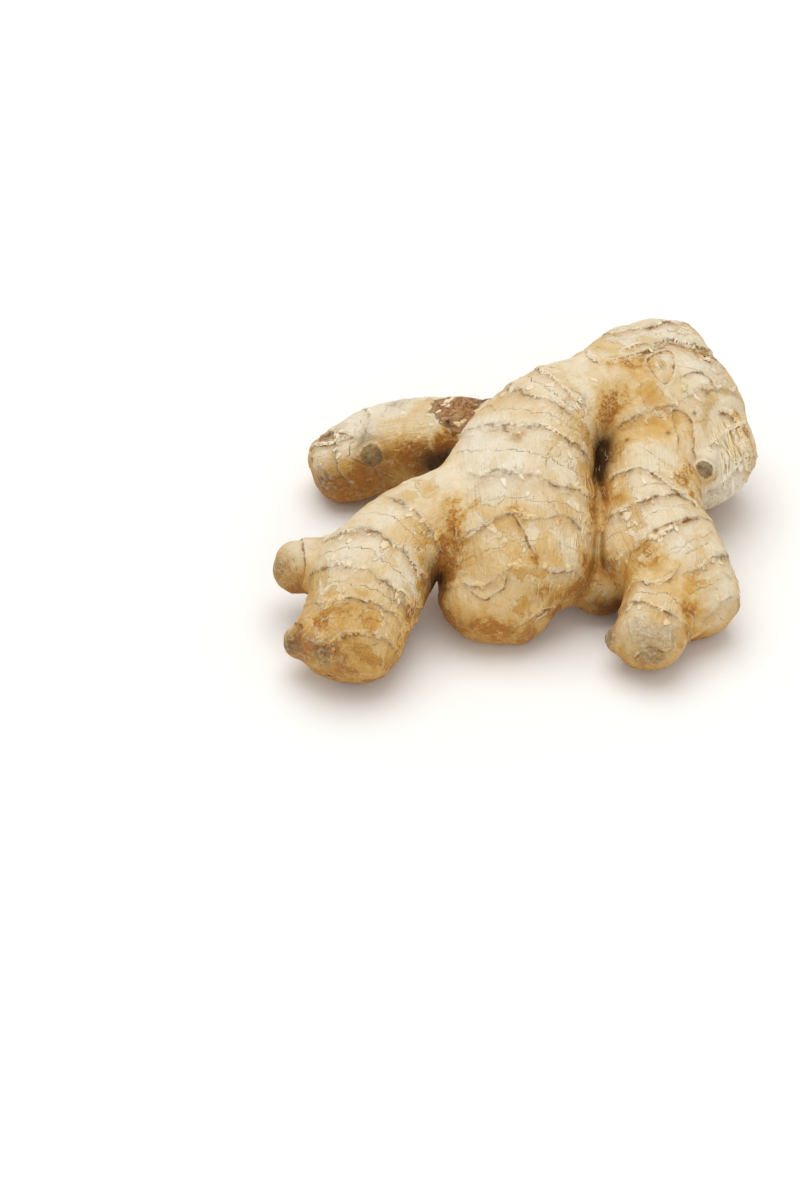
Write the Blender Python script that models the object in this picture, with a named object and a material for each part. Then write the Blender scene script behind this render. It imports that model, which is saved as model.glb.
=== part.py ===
"""A hand of fresh ginger: one rhizome whose swollen, ringed lobes branch off each other.

The rhizome grew as one piece, so it is one solid. Each lobe is a tube lofted along a smooth
spine, with an oval section. The tubes are fused, the fused skin is eased onto one blended
surface so that the lobes flow into each other, and the leaf-scar rings, the scars and the
lumps are raised from it by formulas. The root lies on flat spots at z = 0.

Lengths in this file are millimetres. MM turns them into Blender's metres at the end.
"""

import math

import bmesh
import bpy
import numpy as np
from mathutils import Matrix, Vector, noise

MM = 0.001
NODE = "ginger_root"

# Surface quality
SECTION_SIDES = 28
SPINE_STEPS = 7
CAP_RINGS = 6
FUSE_GRID = 1.0
SOLID_TRIANGLES = 11200

# How the lobes flow into each other, and how square their sections and ends are
BLEND = 1.5
BLEND_REACH = 6 * BLEND
DEEPEST = -8 * BLEND
SQUARENESS = 2.4

# How the skin is moved onto the blended surface
EASING_PASSES = 5
LONGEST_STEP = 1.5
LEAST_STEEPNESS = 0.25
GRADIENT_STEP = 0.15
TINY = 1e-6

# Leaf-scar rings: an old sheath ends in a low ragged step, with a groove below it
RING_STEP = 0.8
RING_GROOVE = 0.4
RING_RISE = 3.4
RING_FALL = 1.3
RING_EDGE = 0.3
RING_FADE = 3.0
# How the rings wander along a lobe: (size of the waves, reach)
RING_WAVES = ((19.0, 3.0), (6.0, 1.3), (2.2, 0.4))

# Lumps of the skin: (size across, height)
LUMPS = ((27.0, 1.0), (15.0, 0.7), (7.0, 0.35), (3.6, 0.14))

# The width of a scar's rim, as a share of its radius, and the size of the cork's lumps
SCAR_RIM_WIDTH = 0.25
CORK_LUMP = 2.4

# The lowest bulges are cut level at z = 0. Points this near the cut count as on it.
CUT_TOLERANCE = 1e-4

# Each lobe: spine points (x, y, z, half width, half height), and its rings, as distances
# along the spine from its first point. A lobe that grows with another carries its rings.
# The viewer of the front looks along +Y.
LOBES = {
    "crown": {
        "spine": (
            (36.6, 45.3, 32.5, 14.5, 9.0),
            (37.6, 38.3, 29.0, 16.8, 14.0),
            (41.1, 30.8, 24.0, 18.4, 17.5),
            (45.4, 24.8, 17.4, 16.5, 17.5),
        ),
        "rings": (-4.5, 3.5, 18.0, 29.0, 38.0),
    },
    "crown_front": {
        "spine": (
            (28.1, 35.3, 32.5, 11.5, 11.5),
            (30.6, 26.3, 30.5, 13.0, 12.0),
            (34.6, 17.3, 24.0, 14.0, 13.0),
        ),
        "grows_with": "crown",
    },
    "middle": {
        "spine": (
            (20.1, 25.3, 35.0, 11.0, 11.0),
            (7.1, 15.3, 33.0, 15.0, 13.0),
            (0.6, 2.3, 28.5, 18.5, 15.0),
            (0.1, -10.7, 20.5, 19.5, 15.5),
            (0.6, -18.2, 16.5, 18.0, 14.5),
        ),
        "rings": (11.2, 17.8, 27.8, 39.0, 51.5, 64.5),
    },
    "middle_tip": {
        "spine": (
            (-5.9, -16.7, 15.5, 15.0, 13.5),
            (-7.9, -27.2, 10.8, 12.0, 10.3),
        ),
        "grows_with": "middle",
    },
    "middle_end": {
        "spine": (
            (-5.9, -21.7, 11.5, 10.0, 10.0),
            (0.1, -28.7, 8.7, 7.8, 8.0),
        ),
        "grows_with": "middle",
    },
    "left": {
        "spine": (
            (-13.9, -5.7, 25.5, 9.5, 9.5),
            (-28.9, -15.2, 22.0, 11.5, 11.0),
            (-38.4, -27.7, 17.5, 13.8, 12.8),
            (-43.2, -41.9, 11.9, 12.6, 11.8),
        ),
        "rings": (16.0, 29.5, 39.5, 46.5, 55.5),
    },
    "left_upper_bud": {
        "spine": (
            (-43.9, -22.7, 18.0, 7.0, 7.0),
            (-56.9, -20.2, 15.5, 6.8, 7.2),
        ),
        "rings": (6.5,),
    },
    "left_lower_bud": {
        "spine": (
            (-46.9, -39.7, 12.5, 4.6, 4.6),
            (-56.4, -42.2, 10.0, 4.0, 4.6),
        ),
        "rings": (5.0,),
    },
    "rear": {
        "spine": (
            (-6.9, 22.3, 25.5, 8.5, 8.5),
            (-23.9, 27.8, 18.0, 10.5, 10.5),
            (-36.9, 29.6, 13.3, 11.0, 10.6),
            (-45.7, 28.0, 9.8, 9.9, 10.0),
        ),
        "rings": (12.0, 24.0, 34.5, 42.0),
    },
    "right": {
        "spine": (
            (36.1, 27.3, 19.5, 11.0, 11.0),
            (34.6, 8.8, 22.5, 12.0, 12.0),
            (34.6, -7.2, 20.0, 12.5, 12.0),
            (37.8, -18.2, 16.0, 13.2, 13.0),
            (41.6, -25.2, 12.0, 11.8, 11.5),
        ),
        "rings": (28.5, 36.5, 45.0, 56.0, 66.0),
    },
    "right_end": {
        "spine": (
            (42.6, -21.7, 13.5, 10.4, 11.0),
            (45.6, -27.7, 10.0, 8.8, 9.4),
        ),
        "grows_with": "right",
    },
    "right_bud": {
        "spine": (
            (36.1, -26.7, 14.5, 8.8, 8.6),
            (32.6, -39.2, 10.0, 8.6, 8.8),
        ),
        "rings": (4.0, 12.0),
    },
    "right_bud_nub": {
        "spine": (
            (26.0, -39.4, 9.2, 1.1, 1.1),
            (23.1, -40.4, 9.0, 1.7, 1.7),
        ),
    },
    "right_flank": {
        "spine": (
            (29.0, 9.0, 21.5, 8.3, 9.5),
            (28.4, -4.0, 20.5, 8.0, 10.0),
            (27.9, -17.5, 16.5, 7.4, 8.8),
        ),
        "grows_with": "right",
    },
    "under": {
        "spine": (
            (24.1, 21.3, 19.5, 9.0, 9.0),
            (21.6, 3.3, 16.5, 8.5, 8.5),
            (24.6, -9.7, 13.5, 7.2, 7.2),
            (21.1, -19.7, 7.0, 6.4, 6.4),
        ),
    },
    "crown_bud": {
        "spine": (
            (46.2, 10.6, 24.2, 3.4, 3.4),
            (48.3, 6.0, 26.0, 2.9, 2.9),
        ),
    },
}

# Round scars of buds, broken shoots and roots: centre (x, y, z), radius, depth and rim height
SCARS = (
    (54.1, 17.3, 30.5, 7.5, 0.7, 0.35),
    (56.1, 12.3, 23.5, 7.0, 0.7, 0.35),
    (-38.2, 19.1, 20.2, 3.6, -0.9, -0.3),
    (-1.2, -1.5, 43.1, 2.0, -0.6, -0.25),
    (-1.2, -21.5, 32.8, 2.2, -0.6, -0.25),
    (31.2, -47.7, 13.8, 5.0, 0.5, 0.3),
    (37.1, 26.3, 42.8, 4.5, 0.25, 0.1),
    (39.1, 54.3, 33.5, 9.0, 1.0, 0.5),
    (4.1, 30.4, 29.5, 2.6, -0.8, -0.3),
    (-25.9, 39.6, 17.5, 3.2, -0.8, -0.3),
    (29.1, 39.3, 14.5, 4.0, 0.6, 0.3),
    (55.0, 36.0, 12.0, 4.5, -1.0, -0.3),
)
# The corky scar of a lost branch, where the skin is rough: centre, radius and roughness
CORK = (-15.9, 22.3, 31.5, 8.5, 1.1)


def smooth_rows(rows, steps):
    """Rows of numbers read from a Catmull-Rom curve through the given rows."""
    knots = np.array(rows, float)
    first = 2 * knots[0] - knots[1]
    last = 2 * knots[-1] - knots[-2]
    padded = np.vstack([first, knots, last])
    made = []
    for i in range(1, len(padded) - 2):
        before, start, end, after = padded[i - 1 : i + 3]
        for t in np.linspace(0.0, 1.0, steps, endpoint=False):
            made.append(
                0.5
                * (
                    2 * start
                    + (end - before) * t
                    + (2 * before - 5 * start + 4 * end - after) * t**2
                    + (3 * start - before - 3 * end + after) * t**3
                )
            )
    made.append(knots[-1])
    return np.array(made)


def unit(vectors):
    """Vectors scaled to length 1."""
    return vectors / np.linalg.norm(vectors, axis=-1, keepdims=True)


class Lobe:
    """A lobe's spine, read finely, with the sideways and upward directions of its sections."""

    def __init__(self, name, spine, rings=(), grows_with=None):
        rows = smooth_rows(spine, SPINE_STEPS)
        self.name = name
        self.rings = rings
        self.leader = grows_with or name
        self.centre = rows[:, :3]
        self.size = rows[:, 3:]
        steps = np.linalg.norm(np.diff(self.centre, axis=0), axis=1)
        self.arc = np.concatenate([[0.0], np.cumsum(steps)])
        self.along = unit(np.gradient(self.centre, axis=0))
        self.side = unit(np.cross(self.along, (0.0, 0.0, 1.0)))
        self.up = np.cross(self.side, self.along)

    def section(self, index, reach=0.0):
        """The points of one section. Reach, from -1 to 1, moves into the rounded ends."""
        angles = np.linspace(0.0, 2 * math.pi, SECTION_SIDES, endpoint=False)
        cap = min(self.size[index])
        centre = self.centre[index] + self.along[index] * cap * math.sin(reach * math.pi / 2)
        share = math.cos(reach * math.pi / 2)
        width, height = self.size[index] * share
        return (
            centre
            + np.outer(np.cos(angles) * width, self.side[index])
            + np.outer(np.sin(angles) * height, self.up[index])
        )

    def loft(self, mesh):
        """Adds the lobe to a bmesh, as a tube with rounded ends."""
        last = len(self.centre) - 1
        reaches = [step / CAP_RINGS for step in range(1, CAP_RINGS)]
        sections = [self.section(0, -reach) for reach in reversed(reaches)]
        sections += [self.section(index) for index in range(last + 1)]
        sections += [self.section(last, reach) for reach in reaches]
        rings = [[mesh.verts.new(point) for point in section] for section in sections]
        for lower, upper in zip(rings, rings[1:]):
            for i in range(SECTION_SIDES):
                j = (i + 1) % SECTION_SIDES
                mesh.faces.new((lower[i], lower[j], upper[j], upper[i]))
        mesh.faces.new(rings[0][::-1])
        mesh.faces.new(rings[-1])

    def read(self, points):
        """For each point: its distance outside the lobe, and its place along the spine."""
        start, end = self.centre[:-1], self.centre[1:]
        run = end - start
        share = ((points[:, None] - start) * run).sum(-1) / (run**2).sum(-1)
        share = np.clip(share, 0.0, 1.0)
        gap = points[:, None] - (start + share[..., None] * run)
        nearest = (gap**2).sum(-1).argmin(1)
        pick = np.arange(len(points))
        t = share[pick, nearest][:, None]

        def mixed(table):
            return table[nearest] * (1 - t) + table[nearest + 1] * t

        offset = points - mixed(self.centre)
        size = mixed(self.size)
        across = (offset * mixed(self.side)).sum(-1)
        above = (offset * mixed(self.up)).sum(-1)
        beyond = (offset * mixed(self.along)).sum(-1)
        shares = np.abs([across / size[:, 0], above / size[:, 1], beyond / size.min(1)])
        ratio = (shares**SQUARENESS).sum(0) ** (1 / SQUARENESS)
        distance = np.linalg.norm(offset, axis=-1) * (1 - 1 / np.maximum(ratio, TINY))
        return distance, mixed(self.arc[:, None])[:, 0] + beyond


def blended(points, lobes):
    """The distance outside the root, where the lobes flow into each other."""
    total = np.zeros(len(points))
    for lobe in lobes:
        reach = lobe.size.max() + BLEND_REACH
        low, high = lobe.centre.min(0) - reach, lobe.centre.max(0) + reach
        near = ((points > low) & (points < high)).all(1)
        distance = lobe.read(points[near])[0]
        total[near] += np.exp(-np.maximum(distance, DEEPEST) / BLEND)
    return -BLEND * np.log(np.maximum(total, TINY))


def outward(points, lobes):
    """The direction in which the distance outside the root grows, and that distance."""
    here = blended(points, lobes)
    rises = [blended(points + GRADIENT_STEP * axis, lobes) - here for axis in np.eye(3)]
    return np.stack(rises, axis=1) / GRADIENT_STEP, here


def eased(points, lobes):
    """Points moved onto the blended surface, and the surface's outward directions there."""
    for _ in range(EASING_PASSES):
        slope, distance = outward(points, lobes)
        steepness = np.maximum((slope**2).sum(1), LEAST_STEEPNESS)
        step = np.clip(distance / steepness, -LONGEST_STEP, LONGEST_STEP)
        points = points - slope * step[:, None]
    return points, unit(outward(points, lobes)[0])


def ripple(points, size):
    """Smooth seeded noise from -1 to 1, with bumps of about that size."""
    return np.array([noise.noise(Vector(point) / size) for point in points])


def ring_profile(past):
    """The height of the skin at a distance past a ring: a swelling, a low step and a groove."""
    before = np.minimum(past, 0.0)
    after = np.maximum(past, 0.0)
    below_step = 0.5 + 0.5 * np.tanh(past / RING_EDGE)
    swelling = RING_STEP * np.exp(before / RING_RISE)
    groove = RING_GROOVE * np.exp(-after / RING_FALL)
    return swelling * (1 - below_step) - groove * below_step


def ring_relief(points, lobes):
    """The rings' height at each point, taken from the lobe that the point belongs to."""
    leaders = [lobe for lobe in lobes if lobe.leader == lobe.name]
    nearest = np.stack(
        [
            np.min([lobe.read(points)[0] for lobe in lobes if lobe.leader == leader.name], axis=0)
            for leader in leaders
        ]
    )
    owner = nearest.argmin(0)
    ranked = np.sort(nearest, axis=0)
    clear = np.clip((ranked[1] - ranked[0]) / RING_FADE, 0.0, 1.0)
    height = np.zeros(len(points))
    for row, leader in enumerate(leaders):
        mine = owner == row
        place = leader.read(points[mine])[1]
        for size, reach in RING_WAVES:
            place = place + reach * ripple(points[mine], size)
        for ring in leader.rings:
            height[mine] += ring_profile(place - ring)
    return height * clear


def lump_relief(points):
    """Low uneven swellings all over the skin."""
    return sum(height * ripple(points, size) for size, height in LUMPS)


def scar_relief(points):
    """Dished round scars with raised rims. Negative depths are low round eyes."""
    height = np.zeros(len(points))
    for *centre, radius, depth, rim in SCARS:
        share = np.linalg.norm(points - np.array(centre), axis=1) / radius
        dish = -depth * np.clip(1 - share**2, 0.0, 1.0)
        height += dish + rim * np.exp(-(((share - 1) / SCAR_RIM_WIDTH) ** 2))
    return height


def cork_relief(points):
    """Rough corky lumps where a branch was lost."""
    *centre, radius, roughness = CORK
    share = np.linalg.norm(points - np.array(centre), axis=1) / radius
    return roughness * np.clip(1 - share**2, 0.0, 1.0) * ripple(points, CORK_LUMP)


def mesh_object(name, mesh):
    """A mesh object in the scene."""
    made = bpy.data.objects.new(name, mesh)
    bpy.context.scene.collection.objects.link(made)
    return made


def evaluated_copy(source):
    """The object's mesh as its modifiers leave it."""
    graph = bpy.context.evaluated_depsgraph_get()
    return bpy.data.meshes.new_from_object(source.evaluated_get(graph))


def fused_skin(lobes):
    """One closed skin round all the lobes, as an even grid of small faces."""
    tubes = bmesh.new()
    for lobe in lobes:
        lobe.loft(tubes)
    bmesh.ops.recalc_face_normals(tubes, faces=tubes.faces)
    mesh = bpy.data.meshes.new("tubes")
    tubes.to_mesh(mesh)
    tubes.free()
    lofted = mesh_object("tubes", mesh)
    remesh = lofted.modifiers.new("fuse", "REMESH")
    remesh.mode = "VOXEL"
    remesh.voxel_size = FUSE_GRID
    skin = evaluated_copy(lofted)
    bpy.data.objects.remove(lofted)
    return skin


def sculpt(skin, lobes):
    """Moves the skin onto the blended surface and raises the relief from it."""
    points = np.empty(len(skin.vertices) * 3)
    skin.vertices.foreach_get("co", points)
    points, normals = eased(points.reshape(-1, 3), lobes)
    relief = lump_relief(points) + ring_relief(points, lobes)
    relief += scar_relief(points) + cork_relief(points)
    points = points + normals * relief[:, None]
    skin.vertices.foreach_set("co", points.ravel())
    skin.update()


def ginger_material():
    """Dry, papery, pale tan skin."""
    material = bpy.data.materials.new("ginger_skin")
    material.use_nodes = True
    shader = material.node_tree.nodes["Principled BSDF"]
    shader.inputs["Base Color"].default_value = (0.66, 0.49, 0.29, 1.0)
    shader.inputs["Roughness"].default_value = 0.62
    shader.inputs["Metallic"].default_value = 0.0
    return material


def lighter_skin(skin):
    """The skin with its faces merged where it is plain, down to the solid's triangle count."""
    full = mesh_object("full_skin", skin)
    decimate = full.modifiers.new("merge", "DECIMATE")
    skin.calc_loop_triangles()
    decimate.ratio = SOLID_TRIANGLES / len(skin.loop_triangles)
    light = evaluated_copy(full)
    bpy.data.objects.remove(full)
    return light


def cut_flat_spots(mesh):
    """Cuts the lowest bulges level, so that the root rests on small flat spots."""
    solid = bmesh.new()
    solid.from_mesh(mesh)
    cut = bmesh.ops.bisect_plane(
        solid,
        geom=solid.verts[:] + solid.edges[:] + solid.faces[:],
        dist=CUT_TOLERANCE,
        plane_co=(0.0, 0.0, 0.0),
        plane_no=(0.0, 0.0, 1.0),
        clear_inner=True,
    )
    rim = [item for item in cut["geom_cut"] if isinstance(item, bmesh.types.BMEdge)]
    bmesh.ops.holes_fill(solid, edges=rim)
    bmesh.ops.triangulate(solid, faces=solid.faces[:])
    solid.to_mesh(mesh)
    solid.free()


def stand_at_origin(mesh):
    """Puts the middle of the bounding box at x = y = 0 and the flat spots at z = 0."""
    corners = np.empty(len(mesh.vertices) * 3)
    mesh.vertices.foreach_get("co", corners)
    corners = corners.reshape(-1, 3)
    low, high = corners.min(0), corners.max(0)
    base = Vector(((low[0] + high[0]) / 2, (low[1] + high[1]) / 2, low[2]))
    mesh.transform(Matrix.Scale(MM, 4) @ Matrix.Translation(-base))


def build():
    """Models the root and leaves it alone in the scene."""
    for old in list(bpy.data.objects):
        bpy.data.objects.remove(old)
    lobes = [Lobe(name, **shape) for name, shape in LOBES.items()]
    skin = fused_skin(lobes)
    sculpt(skin, lobes)
    solid = lighter_skin(skin)
    cut_flat_spots(solid)
    stand_at_origin(solid)
    solid.name = NODE
    solid.materials.append(ginger_material())
    solid.shade_smooth()
    mesh_object(NODE, solid)


build()
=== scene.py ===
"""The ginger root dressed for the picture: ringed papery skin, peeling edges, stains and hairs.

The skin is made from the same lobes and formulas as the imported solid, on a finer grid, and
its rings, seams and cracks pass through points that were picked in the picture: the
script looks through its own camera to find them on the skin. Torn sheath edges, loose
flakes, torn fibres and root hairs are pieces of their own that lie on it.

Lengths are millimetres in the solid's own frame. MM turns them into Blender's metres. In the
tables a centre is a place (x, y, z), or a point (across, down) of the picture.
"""

import math
import random

import bmesh
import bpy
import numpy as np
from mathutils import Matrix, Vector, noise
from mathutils.bvhtree import BVHTree


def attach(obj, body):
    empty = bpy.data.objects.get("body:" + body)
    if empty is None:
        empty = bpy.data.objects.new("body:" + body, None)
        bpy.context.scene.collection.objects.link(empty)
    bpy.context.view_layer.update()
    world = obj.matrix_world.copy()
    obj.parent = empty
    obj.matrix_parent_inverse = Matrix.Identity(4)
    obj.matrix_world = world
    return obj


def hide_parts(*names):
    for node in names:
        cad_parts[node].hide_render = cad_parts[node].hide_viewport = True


MM = 0.001
NODE = "ginger_root"
BODY = "root"
SEED = 7

# Surface quality
SECTION_SIDES = 28
SPINE_STEPS = 7
CAP_RINGS = 6
SKIN_GRID = 0.63

# How the lobes flow into each other, and how square their sections and ends are
BLEND = 1.5
BLEND_REACH = 6 * BLEND
DEEPEST = -8 * BLEND
SQUARENESS = 2.4

# How the skin is moved onto the blended surface
EASING_PASSES = 5
LONGEST_STEP = 1.5
LEAST_STEEPNESS = 0.25
GRADIENT_STEP = 0.15
TINY = 1e-6

# Leaf-scar rings: an old sheath ends in a low ragged step, with a groove below it
RING_STEP = 0.6
RING_GROOVE = 0.16
RING_RISE = 3.4
RING_FALL = 1.3
RING_EDGE = 0.16
RING_FADE = 3.0
NO_RING = 4 * RING_RISE
# How the rings wander along a lobe: (size of the waves, reach)
RING_WAVES = ((19.0, 3.0), (6.0, 1.3), (2.2, 0.5), (0.9, 0.25))
# How strong the rings are: their mean, the least, and the changes (height, size, shift)
RING_MEAN = 0.62
RING_LEAST = 0.12
RING_CHANGES = ((0.75, 9.0, 0.0),)
# How far a picked place pulls its ring, and how weak a pull is lost
PIN_REACH = 5.0
PIN_FLOOR = 0.1

# Lumps of the skin: (size across, height)
LUMPS = ((27.0, 1.0), (15.0, 0.7), (7.0, 0.5), (3.6, 0.3), (1.7, 0.15))

# The width of a scar's rim, as a share of its radius, and the size of the cork's lumps
SCAR_RIM_WIDTH = 0.25
CORK_LUMPS = ((2.4, 1.0), (1.1, 0.45))

# Each lobe: spine points (x, y, z, half width, half height), and its rings, as distances
# along the spine from its first point. A lobe that grows with another carries its rings.
LOBES = {
    "crown": {
        "spine": (
            (36.6, 45.3, 32.5, 14.5, 9.0), (37.6, 38.3, 29.0, 16.8, 14.0),
            (41.1, 30.8, 24.0, 18.4, 17.5), (45.4, 24.8, 17.4, 16.5, 17.5),
        ),
        "rings": (-4.5, 3.5, 18.0, 29.0, 38.0),
    },
    "crown_front": {
        "spine": (
            (28.1, 35.3, 32.5, 11.5, 11.5), (30.6, 26.3, 30.5, 13.0, 12.0),
            (34.6, 17.3, 24.0, 14.0, 13.0),
        ),
        "grows_with": "crown",
    },
    "middle": {
        "spine": (
            (20.1, 25.3, 35.0, 11.0, 11.0), (7.1, 15.3, 33.0, 15.0, 13.0), (0.6, 2.3, 28.5, 18.5, 15.0),
            (0.1, -10.7, 20.5, 19.5, 15.5), (0.6, -18.2, 16.5, 18.0, 14.5),
        ),
        "rings": (11.2, 17.8, 27.8, 39.0, 51.5, 64.5),
    },
    "middle_tip": {
        "spine": (
            (-5.9, -16.7, 15.5, 15.0, 13.5), (-7.9, -27.2, 10.8, 12.0, 10.3),
        ),
        "grows_with": "middle",
    },
    "middle_end": {
        "spine": (
            (-5.9, -21.7, 11.5, 10.0, 10.0), (0.1, -28.7, 8.7, 7.8, 8.0),
        ),
        "grows_with": "middle",
    },
    "left": {
        "spine": (
            (-13.9, -5.7, 25.5, 9.5, 9.5), (-28.9, -15.2, 22.0, 11.5, 11.0),
            (-38.4, -27.7, 17.5, 13.8, 12.8), (-43.2, -41.9, 11.9, 12.6, 11.8),
        ),
        "rings": (16.0, 29.5, 39.5, 46.5, 55.5),
    },
    "left_upper_bud": {
        "spine": (
            (-43.9, -22.7, 18.0, 7.0, 7.0), (-56.9, -20.2, 15.5, 6.8, 7.2),
        ),
        "rings": (6.5,),
    },
    "left_lower_bud": {
        "spine": (
            (-46.9, -39.7, 12.5, 4.6, 4.6), (-56.4, -42.2, 10.0, 4.0, 4.6),
        ),
        "rings": (5.0,),
    },
    "rear": {
        "spine": (
            (-6.9, 22.3, 25.5, 8.5, 8.5), (-23.9, 27.8, 18.0, 10.5, 10.5),
            (-36.9, 29.6, 13.3, 11.0, 10.6), (-45.7, 28.0, 9.8, 9.9, 10.0),
        ),
        "rings": (12.0, 24.0, 34.5, 42.0),
    },
    "right": {
        "spine": (
            (36.1, 27.3, 19.5, 11.0, 11.0), (34.6, 8.8, 22.5, 12.0, 12.0),
            (34.6, -7.2, 20.0, 12.5, 12.0), (37.8, -18.2, 16.0, 13.2, 13.0),
            (41.6, -25.2, 12.0, 11.8, 11.5),
        ),
        "rings": (28.5, 36.5, 45.0, 56.0, 66.0),
    },
    "right_end": {
        "spine": (
            (42.6, -21.7, 13.5, 10.4, 11.0), (45.6, -27.7, 10.0, 8.8, 9.4),
        ),
        "grows_with": "right",
    },
    "right_bud": {
        "spine": (
            (36.1, -26.7, 14.5, 8.8, 8.6), (32.6, -39.2, 10.0, 8.6, 8.8),
        ),
        "rings": (4.0, 12.0),
    },
    "right_bud_nub": {
        "spine": (
            (26.0, -39.4, 9.2, 1.1, 1.1), (23.1, -40.4, 9.0, 1.7, 1.7),
        ),
    },
    "right_flank": {
        "spine": (
            (29.0, 9.0, 21.5, 8.3, 9.5), (28.4, -4.0, 20.5, 8.0, 10.0), (27.9, -17.5, 16.5, 7.4, 8.8),
        ),
        "grows_with": "right",
    },
    "under": {
        "spine": (
            (24.1, 21.3, 19.5, 9.0, 9.0), (21.6, 3.3, 16.5, 8.5, 8.5), (24.6, -9.7, 13.5, 7.2, 7.2),
            (21.1, -19.7, 7.0, 6.4, 6.4),
        ),
    },
    "crown_bud": {
        "spine": (
            (46.2, 10.6, 24.2, 3.4, 3.4), (48.3, 6.0, 26.0, 2.9, 2.9),
        ),
    },
}

# Points of the picture that a lobe's rings pass through: ring, then points (across, down)
RING_PICKS = {
    "crown": (
        (-4.5, ((612, 336), (630, 330), (655, 328), (672, 323))),
        (3.5, ((655, 348), (670, 341), (690, 346), (712, 357))),
        (18.0, ((606, 436), (620, 428), (640, 417), (660, 405), (690, 393), (712, 391), (733, 391))),
    ),
    "middle": (
        (11.2, ((541, 371), (552, 378), (575, 395), (592, 417))),
        (17.8, ((520, 392), (540, 396), (556, 404), (580, 424))),
        (27.8, ((468, 430), (487, 429), (505, 430), (525, 424), (545, 425), (570, 441))),
        (39.0, ((455, 478), (475, 477), (500, 472), (520, 477), (545, 478), (565, 487), (585, 495))),
        (
            51.5,
            (
                (455, 543), (470, 534), (485, 524), (500, 516), (516, 513), (530, 520), (556, 515),
                (585, 535),
            ),
        ),
        (64.5, ((460, 584), (480, 590), (505, 570), (530, 570), (552, 572), (575, 573))),
    ),
    "left": (
        (29.5, ((330, 543), (345, 534), (365, 530), (385, 538), (405, 552), (425, 577))),
        (39.5, ((312, 577), (330, 567), (350, 564), (370, 570), (390, 586), (405, 600))),
        (46.5, ((320, 604), (350, 598), (375, 602), (395, 615), (412, 628))),
        (55.5, ((330, 652), (345, 634), (365, 632), (385, 636), (397, 650))),
    ),
    "rear": (
        (34.5, ((352, 449), (362, 461), (375, 468), (385, 473))),
        (42.0, ((318, 437), (335, 433), (352, 434))),
    ),
    "right": (
        (28.5, ((600, 487), (612, 479), (620, 476), (636, 472), (650, 472))),
        (36.5, ((598, 520), (615, 516), (630, 508), (645, 500), (660, 496), (672, 494))),
        (45.0, ((628, 555), (645, 545), (660, 535), (680, 520), (697, 517))),
    ),
}

# Torn edges of sheaths elsewhere, through points of the picture. The lower layer lies on the
# right of the line's direction.
SEAMS = {
    "flap": (
        (587, 353), (597, 359), (612, 362), (630, 358), (643, 354), (658, 348), (669, 342), (677, 344),
        (690, 348), (701, 350), (712, 357),
    ),
    "patch_edge": (
        (647, 362), (651, 357), (669, 352), (674, 361), (672, 375), (664, 386), (654, 377), (647, 366),
    ),
    "peel": ((686, 375), (695, 372), (704, 373), (712, 380), (716, 388)),
    "tongue": (
        (677, 449), (677, 438), (673, 427), (673, 411), (684, 413), (692, 421), (693, 432), (694, 449),
        (695, 458),
    ),
    "finger_border": (
        (612, 478), (621, 474), (632, 471), (642, 470), (654, 475), (669, 488), (682, 497), (693, 502),
        (694, 505),
    ),
    "torn_rim": ((725, 412), (734, 416), (740, 432), (744, 449), (746, 471)),
    "end_step": ((514, 630), (529, 622), (542, 611), (555, 609)),
    "end_step_low": ((522, 640), (533, 635), (537, 624), (550, 613)),
    "facet": ((514, 517), (520, 526), (526, 537), (529, 546), (533, 554)),
    "arch": ((455, 530), (457, 541), (475, 532), (492, 521), (507, 515)),
    "low_ridge": ((472, 593), (483, 600), (492, 596), (503, 589), (506, 578)),
    "bud_base": (
        (630, 592), (634, 582), (640, 580), (644, 582), (650, 584), (660, 583), (670, 580), (676, 572),
    ),
    "bud_fold": ((686, 640), (692, 628), (695, 617), (690, 612)),
    "rear_line": ((355, 460), (365, 464), (375, 468), (385, 473), (391, 476)),
    "rear_cap": ((305, 458), (307, 450), (313, 445), (321, 444), (331, 442), (343, 440), (351, 438)),
    "rear_cap_top": ((315, 436), (329, 432), (343, 433), (353, 437)),
    "up_bud_cap": ((302, 536), (303, 546), (305, 560), (304, 572), (301, 586)),
    "low_bud_cap": ((290, 622), (303, 626), (303, 640), (305, 656)),
    "left_flake": ((405, 622), (401, 632), (397, 640), (399, 646)),
    "star": ((638, 654), (650, 645), (662, 650), (670, 648)),
    "ring_three": ((656, 531), (670, 524), (684, 520), (698, 518)),
}
# The seams along which torn sheath stands up
FRILLED_SEAMS = ("flap", "torn_rim", "end_step", "bud_base", "arch", "rear_cap", "left_flake")
SEAM_STEP = 0.45
# Seams whose upper layer stands higher
HIGH_SEAMS = {"flap": 1.2, "finger_border": 0.8, "torn_rim": 0.8}
SEAM_FADE = 2.5
NO_SEAM = 4 * SEAM_FADE
# How finely a line that is drawn in the picture is followed, from one of its points to the next
LINE_STEPS = 4
# How often a point of the picture that lies just beside the root is moved towards its outline
OUTLINE_PASSES = 8

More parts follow.
